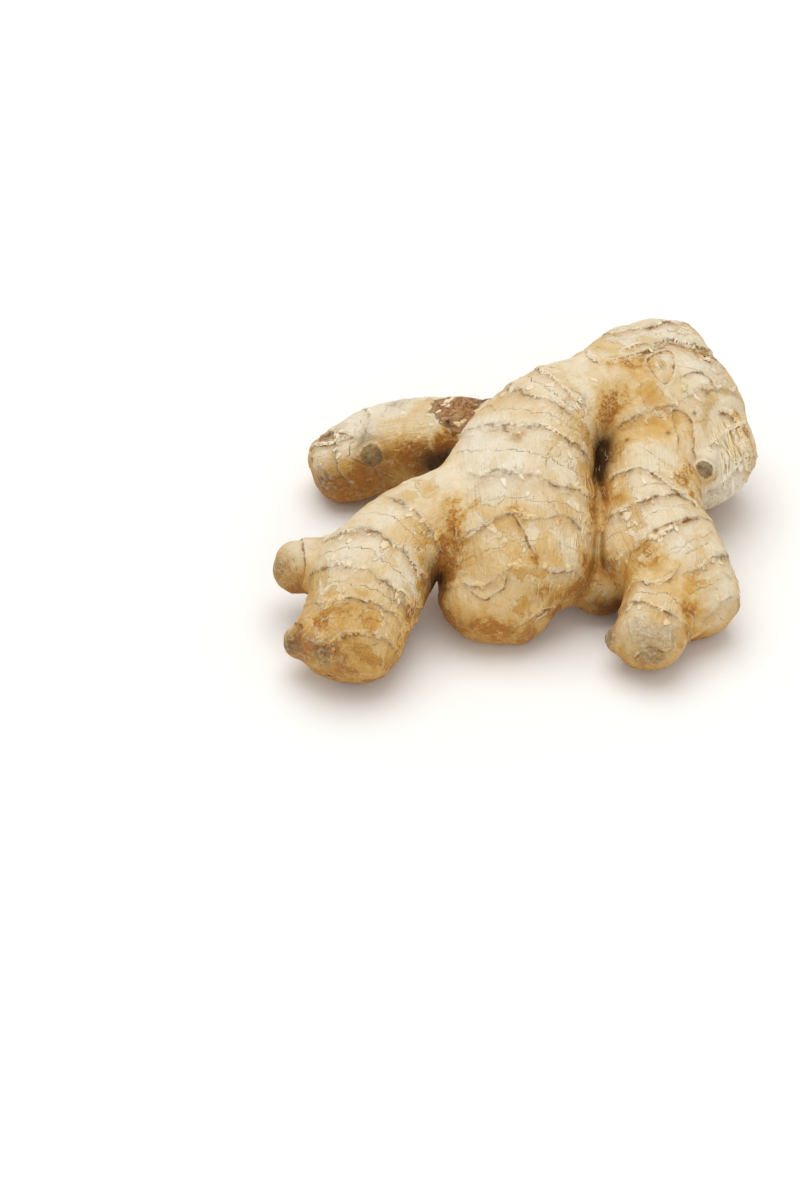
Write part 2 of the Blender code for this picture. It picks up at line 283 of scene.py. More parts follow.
# Open cracks in the skin, through points of the picture
CRACKS = (
    # On the middle finger
    ((514, 494), (518, 506), (526, 513)), ((532, 489), (534, 499)), ((553, 502), (558, 515)),
    ((535, 548), (536, 559), (537, 570)), ((576, 528), (580, 544), (581, 563)),
    ((534, 580), (542, 594), (544, 602)), ((510, 600), (516, 611), (522, 615)),
    ((503, 570), (503, 580)), ((516, 470), (514, 458)), ((545, 470), (548, 455), (553, 446)),
    ((476, 490), (476, 505)), ((560, 540), (562, 556)), ((570, 585), (572, 600)),
    # On the neck and crown
    ((564, 374), (573, 388), (580, 404), (589, 416)), ((560, 412), (573, 420), (582, 432), (588, 445)),
    ((637, 448), (648, 453), (658, 459), (670, 465)), ((658, 459), (659, 465)),
    ((605, 462), (612, 456), (620, 452)), ((664, 323), (688, 322)),
    ((676, 330), (681, 337), (690, 334)),
    # On the left finger
    ((379, 584), (387, 580), (397, 588), (405, 594), (409, 604)), ((387, 582), (390, 594), (392, 604)),
    ((393, 590), (396, 596), (395, 604)), ((401, 590), (408, 598), (405, 608)),
    ((311, 611), (325, 606), (341, 604), (353, 602)), ((364, 614), (364, 624)),
    ((367, 606), (377, 610), (385, 612)), ((349, 634), (350, 639)), ((353, 633), (355, 638)),
    ((357, 632), (359, 636)), ((361, 631), (362, 635)), ((341, 635), (345, 640)),
    ((331, 644), (335, 650), (333, 658), (325, 664)),
    ((321, 650), (327, 658), (321, 666), (329, 672), (335, 680)), ((409, 632), (405, 638)),
    ((305, 548), (317, 548)), ((294, 612), (303, 600), (311, 586)), ((286, 560), (290, 575)),
    ((292, 556), (296, 572)), ((292, 636), (294, 648)), ((298, 634), (299, 650)),
    ((345, 646), (360, 648), (375, 645)),
    # On the right finger
    ((686, 554), (698, 548), (710, 542)), ((660, 578), (670, 573), (676, 568)),
    ((630, 556), (626, 566), (624, 574)), ((642, 614), (646, 619)), ((670, 610), (668, 618)),
    ((650, 645), (652, 638)), ((626, 652), (636, 658)), ((704, 626), (718, 629), (712, 640)),
    ((720, 614), (722, 620), (728, 624)), ((722, 571), (730, 576), (732, 580)),
    ((716, 588), (722, 590)), ((640, 548), (630, 554)), ((625, 630), (630, 640)),
    ((655, 630), (660, 638)),
    # On the rear finger and middle
    ((481, 433), (497, 430), (510, 432)), ((461, 438), (475, 437)), ((360, 420), (366, 432)),
    ((387, 402), (397, 408), (409, 412)),
)
CRACK_DEPTH = 0.25
CRACK_WIDTH = 0.45

# Round scars of buds, broken shoots and roots: centre, radius, depth and rim height
SCARS = (
    (54.1, 17.3, 30.5, 7.5, 0.7, 0.35), (56.1, 12.3, 23.5, 7.0, 0.7, 0.35), (372, 455, 3.6, -0.9, -0.3),
    (-1.2, -1.5, 43.1, 2.0, -0.6, -0.25), (-1.2, -21.5, 32.8, 2.2, -0.6, -0.25),
    (31.2, -47.7, 13.8, 5.0, 0.5, 0.3), (37.1, 26.3, 42.8, 4.5, 0.25, 0.1),
    (39.1, 54.3, 33.5, 9.0, 1.0, 0.5), (4.1, 30.4, 29.5, 2.6, -0.8, -0.3),
    (-25.9, 39.6, 17.5, 3.2, -0.8, -0.3), (29.1, 39.3, 14.5, 4.0, 0.6, 0.3),
    (55.0, 36.0, 12.0, 4.5, -1.0, -0.3),
)
# Round knobs and scars with a rim of their own colour: centre, radius and strength
EYES = (
    (372, 455, 3.5, 1.0), (704, 469, 2.7, 1.0), (-9.7, 26.2, 33.0, 2.4, 0.8),
)
# The share of a knob's radius that stands for places with no knob near
NO_EYE = 3.0
# The corky scar of a lost branch, where the skin is rough: centre, radius and roughness
CORK = (-15.9, 22.3, 31.5, 8.5, 1.3)
# Soft-edged spots of colour on the skin: centre, radius and strength. Most are stains; the few marked
# below are painted shade
WARM_SPOTS = (
    (455, 500, 3.5, 0.3), (458, 520, 4.0, 0.4), (452, 548, 4.5, 0.4), (-18.7, -24.6, 19.0, 4.0, 0.4),
    # (610, 405), (600, 418) and (618, 395): painted shade in the valley between the middle lobe and the
    # crown
    (610, 405, 3.6, 0.55), (600, 418, 3.0, 0.5), (618, 395, 4.0, 0.3), (682, 478, 2.6, 0.8),
    (688, 466, 2.4, 0.7), (678, 484, 2.0, 0.5), (692, 496, 1.3, 1.2), (683, 440, 5.0, 0.18),
    (24.0, 3.5, 34.0, 3.5, 0.55), (25.6, -9.6, 28.7, 2.5, 0.25), (650, 555, 3.6, 0.45),
    (690, 610, 2.4, 0.5), (700, 580, 4.0, 0.2), (545, 590, 1.8, 0.6), (500, 632, 3.0, 0.7),
    (485, 625, 2.4, 0.6), (450, 620, 2.6, 0.9), (-1.2, -2.0, 43.5, 1.3, 0.8),
    (0.4, -1.2, 43.6, 0.9, 0.6), (520, 517, 1.6, 0.45), (512, 510, 1.4, 0.4),
    (2.7, -29.2, 26.6, 0.8, 0.9), (3.2, -29.8, 24.9, 0.7, 0.8), (585, 440, 4.0, 0.35),
    (590, 485, 2.2, 0.6), (592, 510, 2.2, 0.6), (585, 560, 2.0, 0.5), (580, 590, 3.0, 0.3),
    # (28.5, 26.5, 44.8), (33.0, 28.0, 44.0) and (24.3, 25.5, 45.5): painted shadow below the big flap
    (28.5, 26.5, 44.8, 2.4, 0.7), (33.0, 28.0, 44.0, 2.6, 0.5), (24.3, 25.5, 45.5, 2.0, 0.5),
    (49.5, 39.0, 39.0, 2.0, 0.7), (57.5, 21.8, 30.5, 1.3, 1.2), (59.6, 19.5, 27.5, 1.4, 1.2),
    (60.6, 16.5, 24.0, 1.4, 1.2), (60.6, 14.0, 20.0, 1.4, 1.0), (60.0, 12.5, 17.5, 1.4, 0.9),
    (340, 612, 2.2, 0.35), (320, 620, 2.4, 0.4), (330, 650, 2.4, 0.5), (410, 610, 2.4, 0.8),
    (402, 640, 2.4, 0.7), (422, 585, 3.5, 0.45), (420, 560, 2.5, 0.3), (425, 530, 2.5, 0.35),
    (-26.0, 19.0, 22.0, 4.0, 0.6), (447, 436, 2.4, 1.0), (441, 448, 2.2, 1.1), (444, 466, 2.5, 0.3),
)
# Where the rings hardly show, or with strengths below 0 show more
FAINT_SPOTS = (
    (-22.0, 25.0, 24.0, 13.0, 0.9), (30.0, -28.0, 18.0, 7.0, 0.5), (38.0, 0.0, 34.0, 7.0, 0.3),
    (-40.0, -50.0, 20.0, 8.0, -0.8), (-3.0, -12.0, 38.0, 9.0, -0.4), (-40.0, -28.0, 30.0, 9.0, -0.3),
)
# Broad soft changes of the skin's tone: above 0 warmer, below 0 paler. A few pale spots, marked below,
# are painted light in places that lie in shade
TONE_SPOTS = (
    (640, 385, 9.0, 0.16), (655, 425, 8.0, 0.18), (21.0, -5.0, 24.6, 6.0, 0.25),
    # (22.0, -17.0, 20.0) here and (605, 540) below: painted light that brightens the skin beside the
    # crevice, where it lies in shade
    (22.0, -17.0, 20.0, 6.0, -0.05), (680, 590, 6.0, 0.24), (34.0, -26.0, 26.0, 5.0, 0.1),
    (520, 600, 7.0, 0.14), (605, 540, 4.0, -0.25), (715, 630, 7.0, -0.25), (585, 440, 5.0, -0.1),
    (505, 545, 8.0, 0.1), (470, 620, 6.0, 0.1), (350, 620, 8.0, 0.42), (350, 660, 8.0, 0.12),
    (-41.0, -42.0, 25.5, 5.0, 0.05), (-27.0, -36.0, 21.0, 5.0, -0.3), (430, 510, 6.0, 0.2),
    (535, 400, 8.0, 0.06), (28.0, -1.0, 32.0, 4.0, 0.15), (300, 640, 5.0, 0.55), (280, 560, 4.5, 0.3),
    (390, 450, 7.0, 0.4), (340, 487, 6.0, 0.4), (370, 478, 6.0, 0.4), (510, 450, 10.0, -0.2),
    (-3.0, -17.0, 35.5, 7.0, -0.08), (470, 440, 7.0, -0.14), (38.0, 46.0, 42.0, 12.0, -0.12),
    (650, 462, 5.0, -0.05), (680, 540, 5.0, -0.14), (51.0, -28.0, 18.0, 6.0, -0.14),
    # (715, 490): painted light that brightens the crown's lower side, which lies in shade
    (370, 545, 8.0, -0.06), (715, 490, 9.0, -0.8), (58.0, 14.0, 14.0, 8.0, -0.5),
    (370, 410, 10.0, -0.32), (320, 460, 5.0, -0.2), (715, 370, 7.0, -0.2), (740, 410, 6.0, -0.12),
    (16.5, -20.0, 24.0, 3.0, -0.1),
)
# Soil and shade in the deepest folds
DARK_SPOTS = (
    (21.6, 9.5, 30.0, 4.2, 1.2), (21.8, 3.0, 28.0, 3.6, 1.1), (21.5, -4.0, 24.5, 2.6, 0.9),
    (21.3, -10.0, 20.5, 1.6, 0.7), (-20.6, 16.5, 21.0, 3.4, 0.7), (-22.5, 17.2, 18.0, 4.2, 0.7),
    (-18.5, 15.5, 24.0, 2.0, 0.4), (-36.0, 19.6, 20.6, 1.6, 0.4), (-41.0, 22.5, 22.3, 1.6, 0.35),
    (-49.5, 20.5, 13.0, 1.6, 0.3), (-48.0, -52.0, 17.0, 1.4, 0.4), (-51.0, -51.0, 15.0, 1.4, 0.4),
    (-57.5, -46.5, 12.5, 2.0, 0.3), (21.0, -25.0, 7.0, 5.0, 0.6), (-22.4, -27.5, 17.0, 4.0, 0.9),
    (449, 423, 0.9, 1.0), (695, 413, 0.6, 0.8), (628, 442, 0.5, 0.9), (667, 435, 0.6, 0.7),
    (656, 532, 0.5, 0.8), (636, 604, 0.5, 0.8), (430, 533, 0.7, 0.8),
)
# Soft-edged grey places, places where the skin is torn off, and cork
GREY_SPOTS = (
    (640, 630, 3.0, 0.5), (665, 635, 3.0, 0.5), (650, 655, 3.4, 0.9), (323, 480, 3.6, 0.8),
    (-50.0, 29.5, 18.5, 4.0, 0.6), (397, 405, 3.0, 0.35), (366, 432, 2.2, 0.5),
    (-61.2, -23.4, 18.5, 4.0, 0.6), (-58.7, -45.6, 11.8, 4.0, 0.7), (322, 660, 2.6, 0.6),
    (330, 650, 2.0, 0.5), (-1.2, -2.0, 43.5, 1.6, 0.4), (610, 636, 2.6, 0.9), (579, 400, 1.8, 0.6),
    (574, 392, 1.4, 0.5), (400, 600, 3.0, 0.4), (-24.0, -27.5, 22.0, 3.0, 0.5),
    (26.0, -14.0, 27.0, 2.2, 0.4),
)
BARE_SPOTS = (
    (54.7, 16.3, 29.2, 3.6, 1.0), (55.2, 12.0, 23.7, 3.6, 1.0), (56.8, 14.0, 26.5, 3.0, 0.8),
    (37.3, 28.6, 42.4, 3.4, 0.55), (60.2, 15.0, 22.0, 1.6, 0.8),
)
CORK_SPOTS = (
    (444, 406, 3.4, 1.0), (456, 402, 3.4, 0.9), (-12.6, 27.0, 32.2, 3.4, 0.9), (450, 414, 3.4, 0.9),
    (463, 414, 3.2, 0.9), (459, 425, 2.4, 0.9), (-13.6, 14.5, 34.0, 1.8, 0.5), (458, 438, 1.6, 0.6),
    (-17.0, 4.0, 36.0, 1.6, 0.45), (-9.7, 26.2, 34.0, 2.6, 0.8), (450, 452, 1.6, 0.6),
)

# The skin's warmth, from cream towards ochre and brown: everywhere, painted shade where it turns away
# from the sky and in hollows, and more near the floor
WARMTH = 0.28
TURNED_AWAY_SHADE = 0.34
LOW_WARMTH = 0.10
HOLLOW_SHADE = 0.35
LEAST_FACING = -0.5
LOW_SKIN = 24.0

# How far apart the grain of one lobe is moved from the next one's
GRAIN_SHIFT = 40.0
# The distances from a point that tell how deep in a hollow it lies
HOLLOW_REACHES = (3.0, 7.0, 12.0)
# The furthest distance past a ring or seam that the material is told
FURTHEST_PAST = 9.0

# Thin sheets that lie on the skin, and how much of the skin's stain they show
SHEET_THICKNESS = 0.09
SHEET_GAP = 0.04
SHEET_STAIN = 0.5

# Frills: thin torn sheath edges that stand off the skin along the rings and seams
FRILL_STEP = 0.4
FRILL_ROOT = 1.5
FRILL_FOOT = 0.35 * FRILL_ROOT
FRILL_REACH = (0.15, 0.75)
FRILL_LIFT = (0.05, 0.4)
FRILL_SHARE = -0.05
SEAM_FRILL_SHARE = 0.1
FRILL_CLEAR = 0.4
FRILL_SHORTEST = 5
FRILL_TAPER = 3
FRILL_STRONGEST = 1.6
# How a frill's strength, its ragged edge and its curl change: (height, size, shift)
FRILL_CHANGES = ((0.9, 5.0, 0.0), (0.5, 1.6, 50.0))
FRILL_RAGGED = (0.75, ((0.6, 0.8, 90.0),))
FRILL_CURL = (0.5, ((0.9, 3.0, 30.0),))
# A frill's rows past its root: foot and height in millimetres, shares of its reach and lift
FRILL_ROWS = (
    (0.0, SHEET_GAP, 0.0, 0.0),
    (FRILL_FOOT, SHEET_GAP, 0.0, 0.35),
    (FRILL_FOOT, 0.0, 0.6, 0.75),
    (FRILL_FOOT, 0.0, 1.0, 1.0),
)
FRILL_EDGES = (0.0, 0.1, 0.4, 0.75, 1.0)
# How often a ring's line, and the way past it, are smoothed
LINE_SMOOTHING = 4
WAY_SMOOTHING = 12
# Places where the frills are larger, or smaller: centre, radius and how much
FRILL_SPOTS = (
    (22.0, 27.0, 45.6, 9.0, 1.6), (-46.0, -50.0, 18.0, 6.0, 0.6), (-27.8, -41.0, 15.0, 6.0, 1.2),
    (18.5, -8.0, 30.0, 6.0, 0.8), (59.5, 17.0, 25.0, 8.0, 0.9), (408, 618, 5.0, 0.8),
    (-26.0, -33.0, 24.0, 5.0, 0.6), (17.0, -12.0, 30.0, 6.0, 0.6),
    (372, 455, 5.0, -2.5), (704, 469, 4.0, -2.5),
)

# Flakes: loose scales of papery skin, near the rings, and off the floor, knobs and crevices
FLAKES = 460
FLAKE_LENGTHS = (0.8, 2.8)
FLAKE_LIFT = (0.02, 0.3)
FLAKE_TURN = 0.7
# Shares of a flake's length: its width, the raggedness of its edge, and the part behind its place
FLAKE_WIDTHS = (0.35, 0.9)
FLAKE_JAG = 0.12
FLAKE_ROOT = 0.3
# The share of its width that a flake loses towards its tip
FLAKE_ROUNDING = (0.3, 0.8)
FLAKE_ROWS = (0.0, 0.35, 0.7, 1.0)
FLAKE_COLUMNS = (-1.0, -0.4, 0.4, 1.0)
FLAKE_EDGES = (0.0, 0.3, 0.7, 1.0)
# Where flakes lie: how near the rings, how often elsewhere, and how far off what they keep clear of
FLAKE_RING_REACH = 2.0
FLAKE_ELSEWHERE = 0.04
FLAKE_LOWEST = 2.0
FLAKE_EYE_CLEAR = 1.4
FLAKE_DARKEST = 0.5
FLAKE_SPOTS = (
    (17.0, -14.0, 30.0, 8.0, 1.2), (17.0, -2.0, 36.0, 6.0, 0.8), (-30.0, -42.0, 18.0, 8.0, 0.8),
    (60.0, 18.0, 26.0, 7.0, 1.5), (-8.0, -33.0, 14.0, 7.0, 0.6), (46.0, -24.0, 20.0, 8.0, 0.6),
    (-16.0, 22.0, 31.0, 9.0, 1.2), (-28.5, -40.0, 18.0, 5.0, 1.2), (-24.0, -24.0, 29.0, 5.0, 0.7),
    (29.0, -34.0, 20.0, 6.0, 0.9), (-48.0, 20.0, 14.0, 6.0, 0.4),
)

# Strips of torn fibres
STRIP_STEP = 0.7
STRIP_WIDTHS = (0.2, 0.6)
STRIP_LENGTHS = (0.5, 1.2)
STRIP_LIFT = 0.5
STRIP_BULGE = 0.1
STRIP_DRIFT = 0.12
STRIP_SHORTEST = 2
# A strip's width follows half a wave raised to a power: where it starts, its span and its end
STRIP_WAVE = (0.08, 0.9, 0.96)
STRIP_POWER = 0.6
STRIP_COLUMNS = (-1.0, 0.0, 1.0)
STRIP_EDGES = (0.9, 0.5, 0.9)
# Centre (x, y, z), radius, number, length and the way they run
STRIP_SPOTS = (
    (54.0, 17.0, 30.0, 3.6, 22, 6.0, (0.1, -0.6, -0.8)),
    (55.2, 12.5, 24.5, 3.6, 22, 6.0, (0.1, -0.6, -0.8)),
    (59.5, 17.0, 25.0, 2.5, 12, 5.0, (0.1, -0.6, -0.8)),
    (17.5, -6.0, 33.0, 4.5, 12, 6.0, (0.0, -0.8, -0.5)),
    (16.5, -16.0, 27.0, 4.0, 14, 6.0, (0.0, -0.8, -0.5)),
    (14.5, 12.5, 45.0, 2.0, 10, 4.0, (0.5, -0.8, -0.1)),
    (6.0, -30.0, 20.0, 5.0, 10, 5.0, (0.0, -0.5, -0.8)),
    (-28.5, -38.0, 18.0, 4.0, 8, 4.0, (0.1, -0.7, -0.7)),
    (56.0, -24.0, 14.0, 5.0, 10, 4.0, (0.2, -0.7, -0.6)),
)

# Root hairs: centre (x, y, z), radius, number and length
HAIR_SPOTS = (
    (21.5, 2.0, 27.0, 4.0, 7, 3.5),
    (21.5, -6.0, 24.5, 3.5, 9, 3.0),
    (20.5, -14.0, 22.0, 3.0, 6, 2.5),
    (-21.7, -25.7, 22.5, 1.5, 2, 3.5),
    (60.0, 20.0, 27.0, 4.0, 10, 1.8),
    (-10.0, 26.0, 33.0, 3.0, 4, 2.0),
    (47.0, -26.0, 14.0, 5.0, 8, 1.5),
)
HAIR_POINTS = 9
HAIR_WIDTH = 0.16
HAIR_DEPTH = 0.2
HAIR_LENGTHS = (0.6, 1.3)
HAIR_LEAN = 0.7
HAIR_CURL = 0.45
HAIR_TAPER = 0.6

# Skin colours, linear
CREAM = (0.75, 0.62, 0.41)
OCHRE = (0.50, 0.26, 0.06)
BROWN = (0.24, 0.10, 0.025)
GREY_BROWN = (0.33, 0.24, 0.14)
KNOB_BROWN = (0.24, 0.15, 0.055)
CORK_RED = (0.52, 0.17, 0.045)
CORK_TAN = (0.72, 0.36, 0.13)
CORK_CREAM = (0.84, 0.62, 0.36)
BARE_YELLOW = (0.82, 0.65, 0.29)
LINE_BROWN = (0.30, 0.135, 0.03)
LIP_CREAM = (0.88, 0.79, 0.60)
DEEP_BROWN = (0.06, 0.025, 0.008)
HAIR_CREAM = (0.80, 0.72, 0.55)
HAIR_TAN = (0.45, 0.28, 0.12)

# Colours that change with a value: (value, colour)
SKIN_TONES = (
    (0.0, (0.87, 0.79, 0.64)),
    (0.25, (0.81, 0.68, 0.47)),
    (0.5, (0.74, 0.53, 0.26)),
    (0.75, (0.63, 0.36, 0.09)),
    (1.0, (0.44, 0.175, 0.025)),
)
KNOB_TONES = ((0.3, DEEP_BROWN), (0.45, KNOB_BROWN), (0.65, GREY_BROWN))
CRUST_TONES = ((0.36, LINE_BROWN), (0.48, OCHRE), (0.54, LIP_CREAM))
GREY_TONES = ((0.35, BROWN), (0.5, GREY_BROWN), (0.68, CREAM))
BARE_TONES = ((0.38, OCHRE), (0.47, BARE_YELLOW), (0.58, LIP_CREAM))
CORK_TONES = (
    (0.33, BROWN), (0.42, CORK_RED), (0.52, CORK_TAN), (0.60, CORK_CREAM), (0.68, CORK_TAN),
)
FLOOR_SHADE = (0.93, 0.93, 0.925)
FLOOR_WHITE = (0.95, 0.95, 0.945)

# How rough and how shiny the plain surfaces are
FLOOR_ROUGHNESS = 0.9
HAIR_ROUGHNESS = 0.6
SKIN_SHINE = 0.22
SHEATH_SHINE = 0.3

# Noises of the materials: the size of their bumps, detail, roughness and distortion
NOISES = {
    "blotch": (8.0, 5.0, 0.65, 0.6),
    "rust": (2.2, 5.0, 0.75, 0.0),
    "broken": (2.4, 4.0, 0.65, 0.0),
    "wander": (1.8, 3.0, 0.6, 0.0),
    "uneven": (3.5, 2.0, 0.5, 0.0),
    "ragged": (0.7, 3.0, 0.6, 0.0),
    "fine": (0.35, 3.0, 0.6, 0.0),
    "patch": (3.2, 5.0, 0.68, 0.3),
    "crumb": (1.4, 4.0, 0.7, 0.0),
    "layers": (8.0, 4.0, 0.55, 0.4),
    "some": (16.0, 2.0, 0.5, 0.0),
    "mould": (2.2, 5.0, 0.7, 0.0),
    "freckle": (1.1, 4.0, 0.7, 0.0),
    "bark": ((2.4, 2.4, 1.5), 6.0, 0.72, 1.6),
    "sheath": (0.5, 3.0, 0.6, 0.0),
    "hair": (2.0, 3.0, 0.6, 0.0),
    "floor": (60.0, 2.0, 0.5, 0.0),
}
# Noises that run with the grain, with their sizes across it, above it and along it
GRAINS = {
    "fibres": ((0.45, 0.45, 9.0), 4.0, 0.7, 0.0),
    "threads": ((0.9, 0.9, 18.0), 2.0, 0.5, 0.0),
    "dashes": ((0.5, 0.5, 2.6), 3.0, 0.6, 0.0),
    "crease": ((4.0, 4.0, 1.2), 4.0, 0.6, 0.8),
}

# Camera: the picture is 800 x 1200 points, and its middle looks at AIM
PICTURE = (800, 1200)
AIM = (-30.8, -15.2, -0.5)
ELEVATION = math.radians(42.0)
DISTANCE = 736.67
LENS = 85.0
SENSOR = 36.0
NEAREST_SEEN = 0.01
# The ways from the root to the camera, and up in the picture
BACK = np.array((0.0, -math.cos(ELEVATION), math.sin(ELEVATION)))
UP = np.array((0.0, math.sin(ELEVATION), math.cos(ELEVATION)))

# Stage, in metres: half the floor's width, the sky, and round lamps that shine at the root
FLOOR_HALF = 4.0
SKY = (1.0, 0.995, 0.985)
SKY_STRENGTH = 0.58
SOFTBOXES = (
    ("softbox_above", (-0.10, 0.22, 1.0), 1.1, 7.0, (1.0, 0.985, 0.96)),
    ("softbox_front", (0.25, -1.2, 0.45), 1.0, 3.2, (1.0, 0.98, 0.95)),
)


def smooth_rows(rows, steps):
    """Rows of numbers read from a Catmull-Rom curve through the given rows."""
    knots = np.array(rows, float)
    first = 2 * knots[0] - knots[1]
    last = 2 * knots[-1] - knots[-2]
    padded = np.vstack([first, knots, last])
    made = []
    for i in range(1, len(padded) - 2):
        before, start, end, after = padded[i - 1 : i + 3]
        for t in np.linspace(0.0, 1.0, steps, endpoint=False):
            made.append(
                0.5
                * (
                    2 * start
                    + (end - before) * t
                    + (2 * before - 5 * start + 4 * end - after) * t**2
                    + (3 * start - before - 3 * end + after) * t**3
                )
            )
    made.append(knots[-1])
    return np.array(made)


def unit(vectors):
    """Vectors scaled to length 1."""
    return vectors / np.maximum(np.linalg.norm(vectors, axis=-1, keepdims=True), TINY)


class Lobe:
    """A lobe's spine, read finely, with the sideways and upward directions of its sections."""

    def __init__(self, name, spine, rings=(), grows_with=None):
        rows = smooth_rows(spine, SPINE_STEPS)
        self.name = name
        self.rings = np.array(rings)
        self.leader = grows_with or name
        self.centre = rows[:, :3]
        self.size = rows[:, 3:]
        steps = np.linalg.norm(np.diff(self.centre, axis=0), axis=1)
        self.arc = np.concatenate([[0.0], np.cumsum(steps)])
        self.along = unit(np.gradient(self.centre, axis=0))
        self.side = unit(np.cross(self.along, (0.0, 0.0, 1.0)))
        self.up = np.cross(self.side, self.along)

    def section(self, index, reach=0.0):
        """The points of one section. Reach, from -1 to 1, moves into the rounded ends."""
        angles = np.linspace(0.0, 2 * math.pi, SECTION_SIDES, endpoint=False)
        cap = min(self.size[index])
        centre = self.centre[index] + self.along[index] * cap * math.sin(reach * math.pi / 2)
        width, height = self.size[index] * math.cos(reach * math.pi / 2)
        return (
            centre
            + np.outer(np.cos(angles) * width, self.side[index])
            + np.outer(np.sin(angles) * height, self.up[index])
        )

    def loft(self, mesh):
        """Adds the lobe to a bmesh, as a tube with rounded ends."""
        last = len(self.centre) - 1
        reaches = [step / CAP_RINGS for step in range(1, CAP_RINGS)]
        sections = [self.section(0, -reach) for reach in reversed(reaches)]
        sections += [self.section(index) for index in range(last + 1)]
        sections += [self.section(last, reach) for reach in reaches]
        rings = [[mesh.verts.new(point) for point in section] for section in sections]
        for lower, upper in zip(rings, rings[1:]):
            for i in range(SECTION_SIDES):
                j = (i + 1) % SECTION_SIDES
                mesh.faces.new((lower[i], lower[j], upper[j], upper[i]))
        mesh.faces.new(rings[0][::-1])
        mesh.faces.new(rings[-1])

    def read(self, points):
        """For each point: its distance outside the lobe, its place, and the spine's direction.

        The place is across and above the spine, and along it from its first point.
        """
        start = self.centre[:-1]
        run = self.centre[1:] - start
        length = (run**2).sum(1)
        ahead = points @ run.T - (start * run).sum(1)
        share = np.clip(ahead / length, 0.0, 1.0)
        reach = (points**2).sum(1)[:, None] - 2 * points @ start.T + (start**2).sum(1)
        nearest = (reach - 2 * share * ahead + share**2 * length).argmin(1)
        t = share[np.arange(len(points)), nearest][:, None]

        def mixed(table):
            return table[nearest] * (1 - t) + table[nearest + 1] * t

        offset = points - mixed(self.centre)
        size = mixed(self.size)
        across = (offset * mixed(self.side)).sum(-1)
        above = (offset * mixed(self.up)).sum(-1)
        beyond = (offset * mixed(self.along)).sum(-1)
        shares = np.abs([across / size[:, 0], above / size[:, 1], beyond / size.min(1)])
        ratio = (shares**SQUARENESS).sum(0) ** (1 / SQUARENESS)
        distance = np.linalg.norm(offset, axis=-1) * (1 - 1 / np.maximum(ratio, TINY))
        place = np.stack([across, above, mixed(self.arc[:, None])[:, 0] + beyond], axis=1)
        return distance, place, mixed(self.along)


def blended(points, lobes):
    """The distance outside the root, where the lobes flow into each other."""
    total = np.zeros(len(points))
    for lobe in lobes:
        reach = lobe.size.max() + BLEND_REACH
        low, high = lobe.centre.min(0) - reach, lobe.centre.max(0) + reach
        near = ((points > low) & (points < high)).all(1)
        distance = lobe.read(points[near])[0]
        total[near] += np.exp(-np.maximum(distance, DEEPEST) / BLEND)
    return -BLEND * np.log(np.maximum(total, TINY))


def outward(points, lobes):
    """The direction in which the distance outside the root grows, and that distance."""
    here = blended(points, lobes)
    rises = [blended(points + GRADIENT_STEP * axis, lobes) - here for axis in np.eye(3)]
    return np.stack(rises, axis=1) / GRADIENT_STEP, here


def eased(points, lobes):
    """Points moved onto the blended surface, and the surface's outward directions there."""
    for _ in range(EASING_PASSES):
        slope, distance = outward(points, lobes)
        steepness = np.maximum((slope**2).sum(1), LEAST_STEEPNESS)
        step = np.clip(distance / steepness, -LONGEST_STEP, LONGEST_STEP)
        points = points - slope * step[:, None]
    return points, unit(outward(points, lobes)[0])


class Sight:
    """Looks from the camera at the skin, through points (across, down) of the picture."""

    def __init__(self, points, mesh):
        self.eye = Vector(np.array(AIM) + DISTANCE * BACK)
        faces = [tuple(face.vertices) for face in mesh.polygons]
        self.skin = BVHTree.FromPolygons(points.tolist(), faces)

    def seen(self, across, down):
        """The place on the skin at a point of the picture, or beside it, nearest to that point."""
        wide, high = PICTURE
        reach = LENS / SENSOR * high
        right = (across - wide / 2) / reach
        rise = (high / 2 - down) / reach
        way = Vector(np.array((right, 0.0, 0.0)) + rise * UP - BACK).normalized()
        place = self.skin.ray_cast(self.eye, way)[0]
        reach = DISTANCE
        for _ in range(0 if place else OUTLINE_PASSES):
            place = self.skin.find_nearest(self.eye + way * reach)[0]
            reach = (place - self.eye).dot(way)
        return place

    def place(self, centre):
        """A centre's place. Two numbers are a point of the picture, and three are a place."""
        return np.array(centre if len(centre) == 3 else self.seen(*centre))

    def line(self, picks, steps=LINE_STEPS):
        """Places on the skin along a line that is drawn through points of the picture."""
        return np.array([self.seen(*point) for point in smooth_rows(picks, steps)])


def ripple(points, size):
    """Smooth seeded noise from -1 to 1, with bumps of about that size."""
    return np.array([noise.noise(Vector(point) / size) for point in points])


def uneven(points, mean, changes):
    """A mean with smooth changes, each of a height, a size and a shift."""
    for height, size, shift in changes:
        mean = mean + height * ripple(points + shift, size)
    return mean


def ring_waves(points):
    """How far the rings wander along the lobe at each point."""
    return sum(reach * ripple(points, size) for size, reach in RING_WAVES)


def pin_pull(points, leader, sight):
    """How far the rings of a lobe are moved at each point, to pass through their picks."""
    pull = np.zeros(len(points))
    weight = np.full(len(points), PIN_FLOOR)
    for ring, picks in RING_PICKS.get(leader.name, ()):
        for pin in sight.line(picks, 1):
            place = leader.read(pin[None])[1][0, 2] + ring_waves(pin[None])[0]
            near = np.exp(-((points - pin) ** 2).sum(1) / PIN_REACH**2)
            pull += near * (ring - place)
            weight += near
    return pull / weight


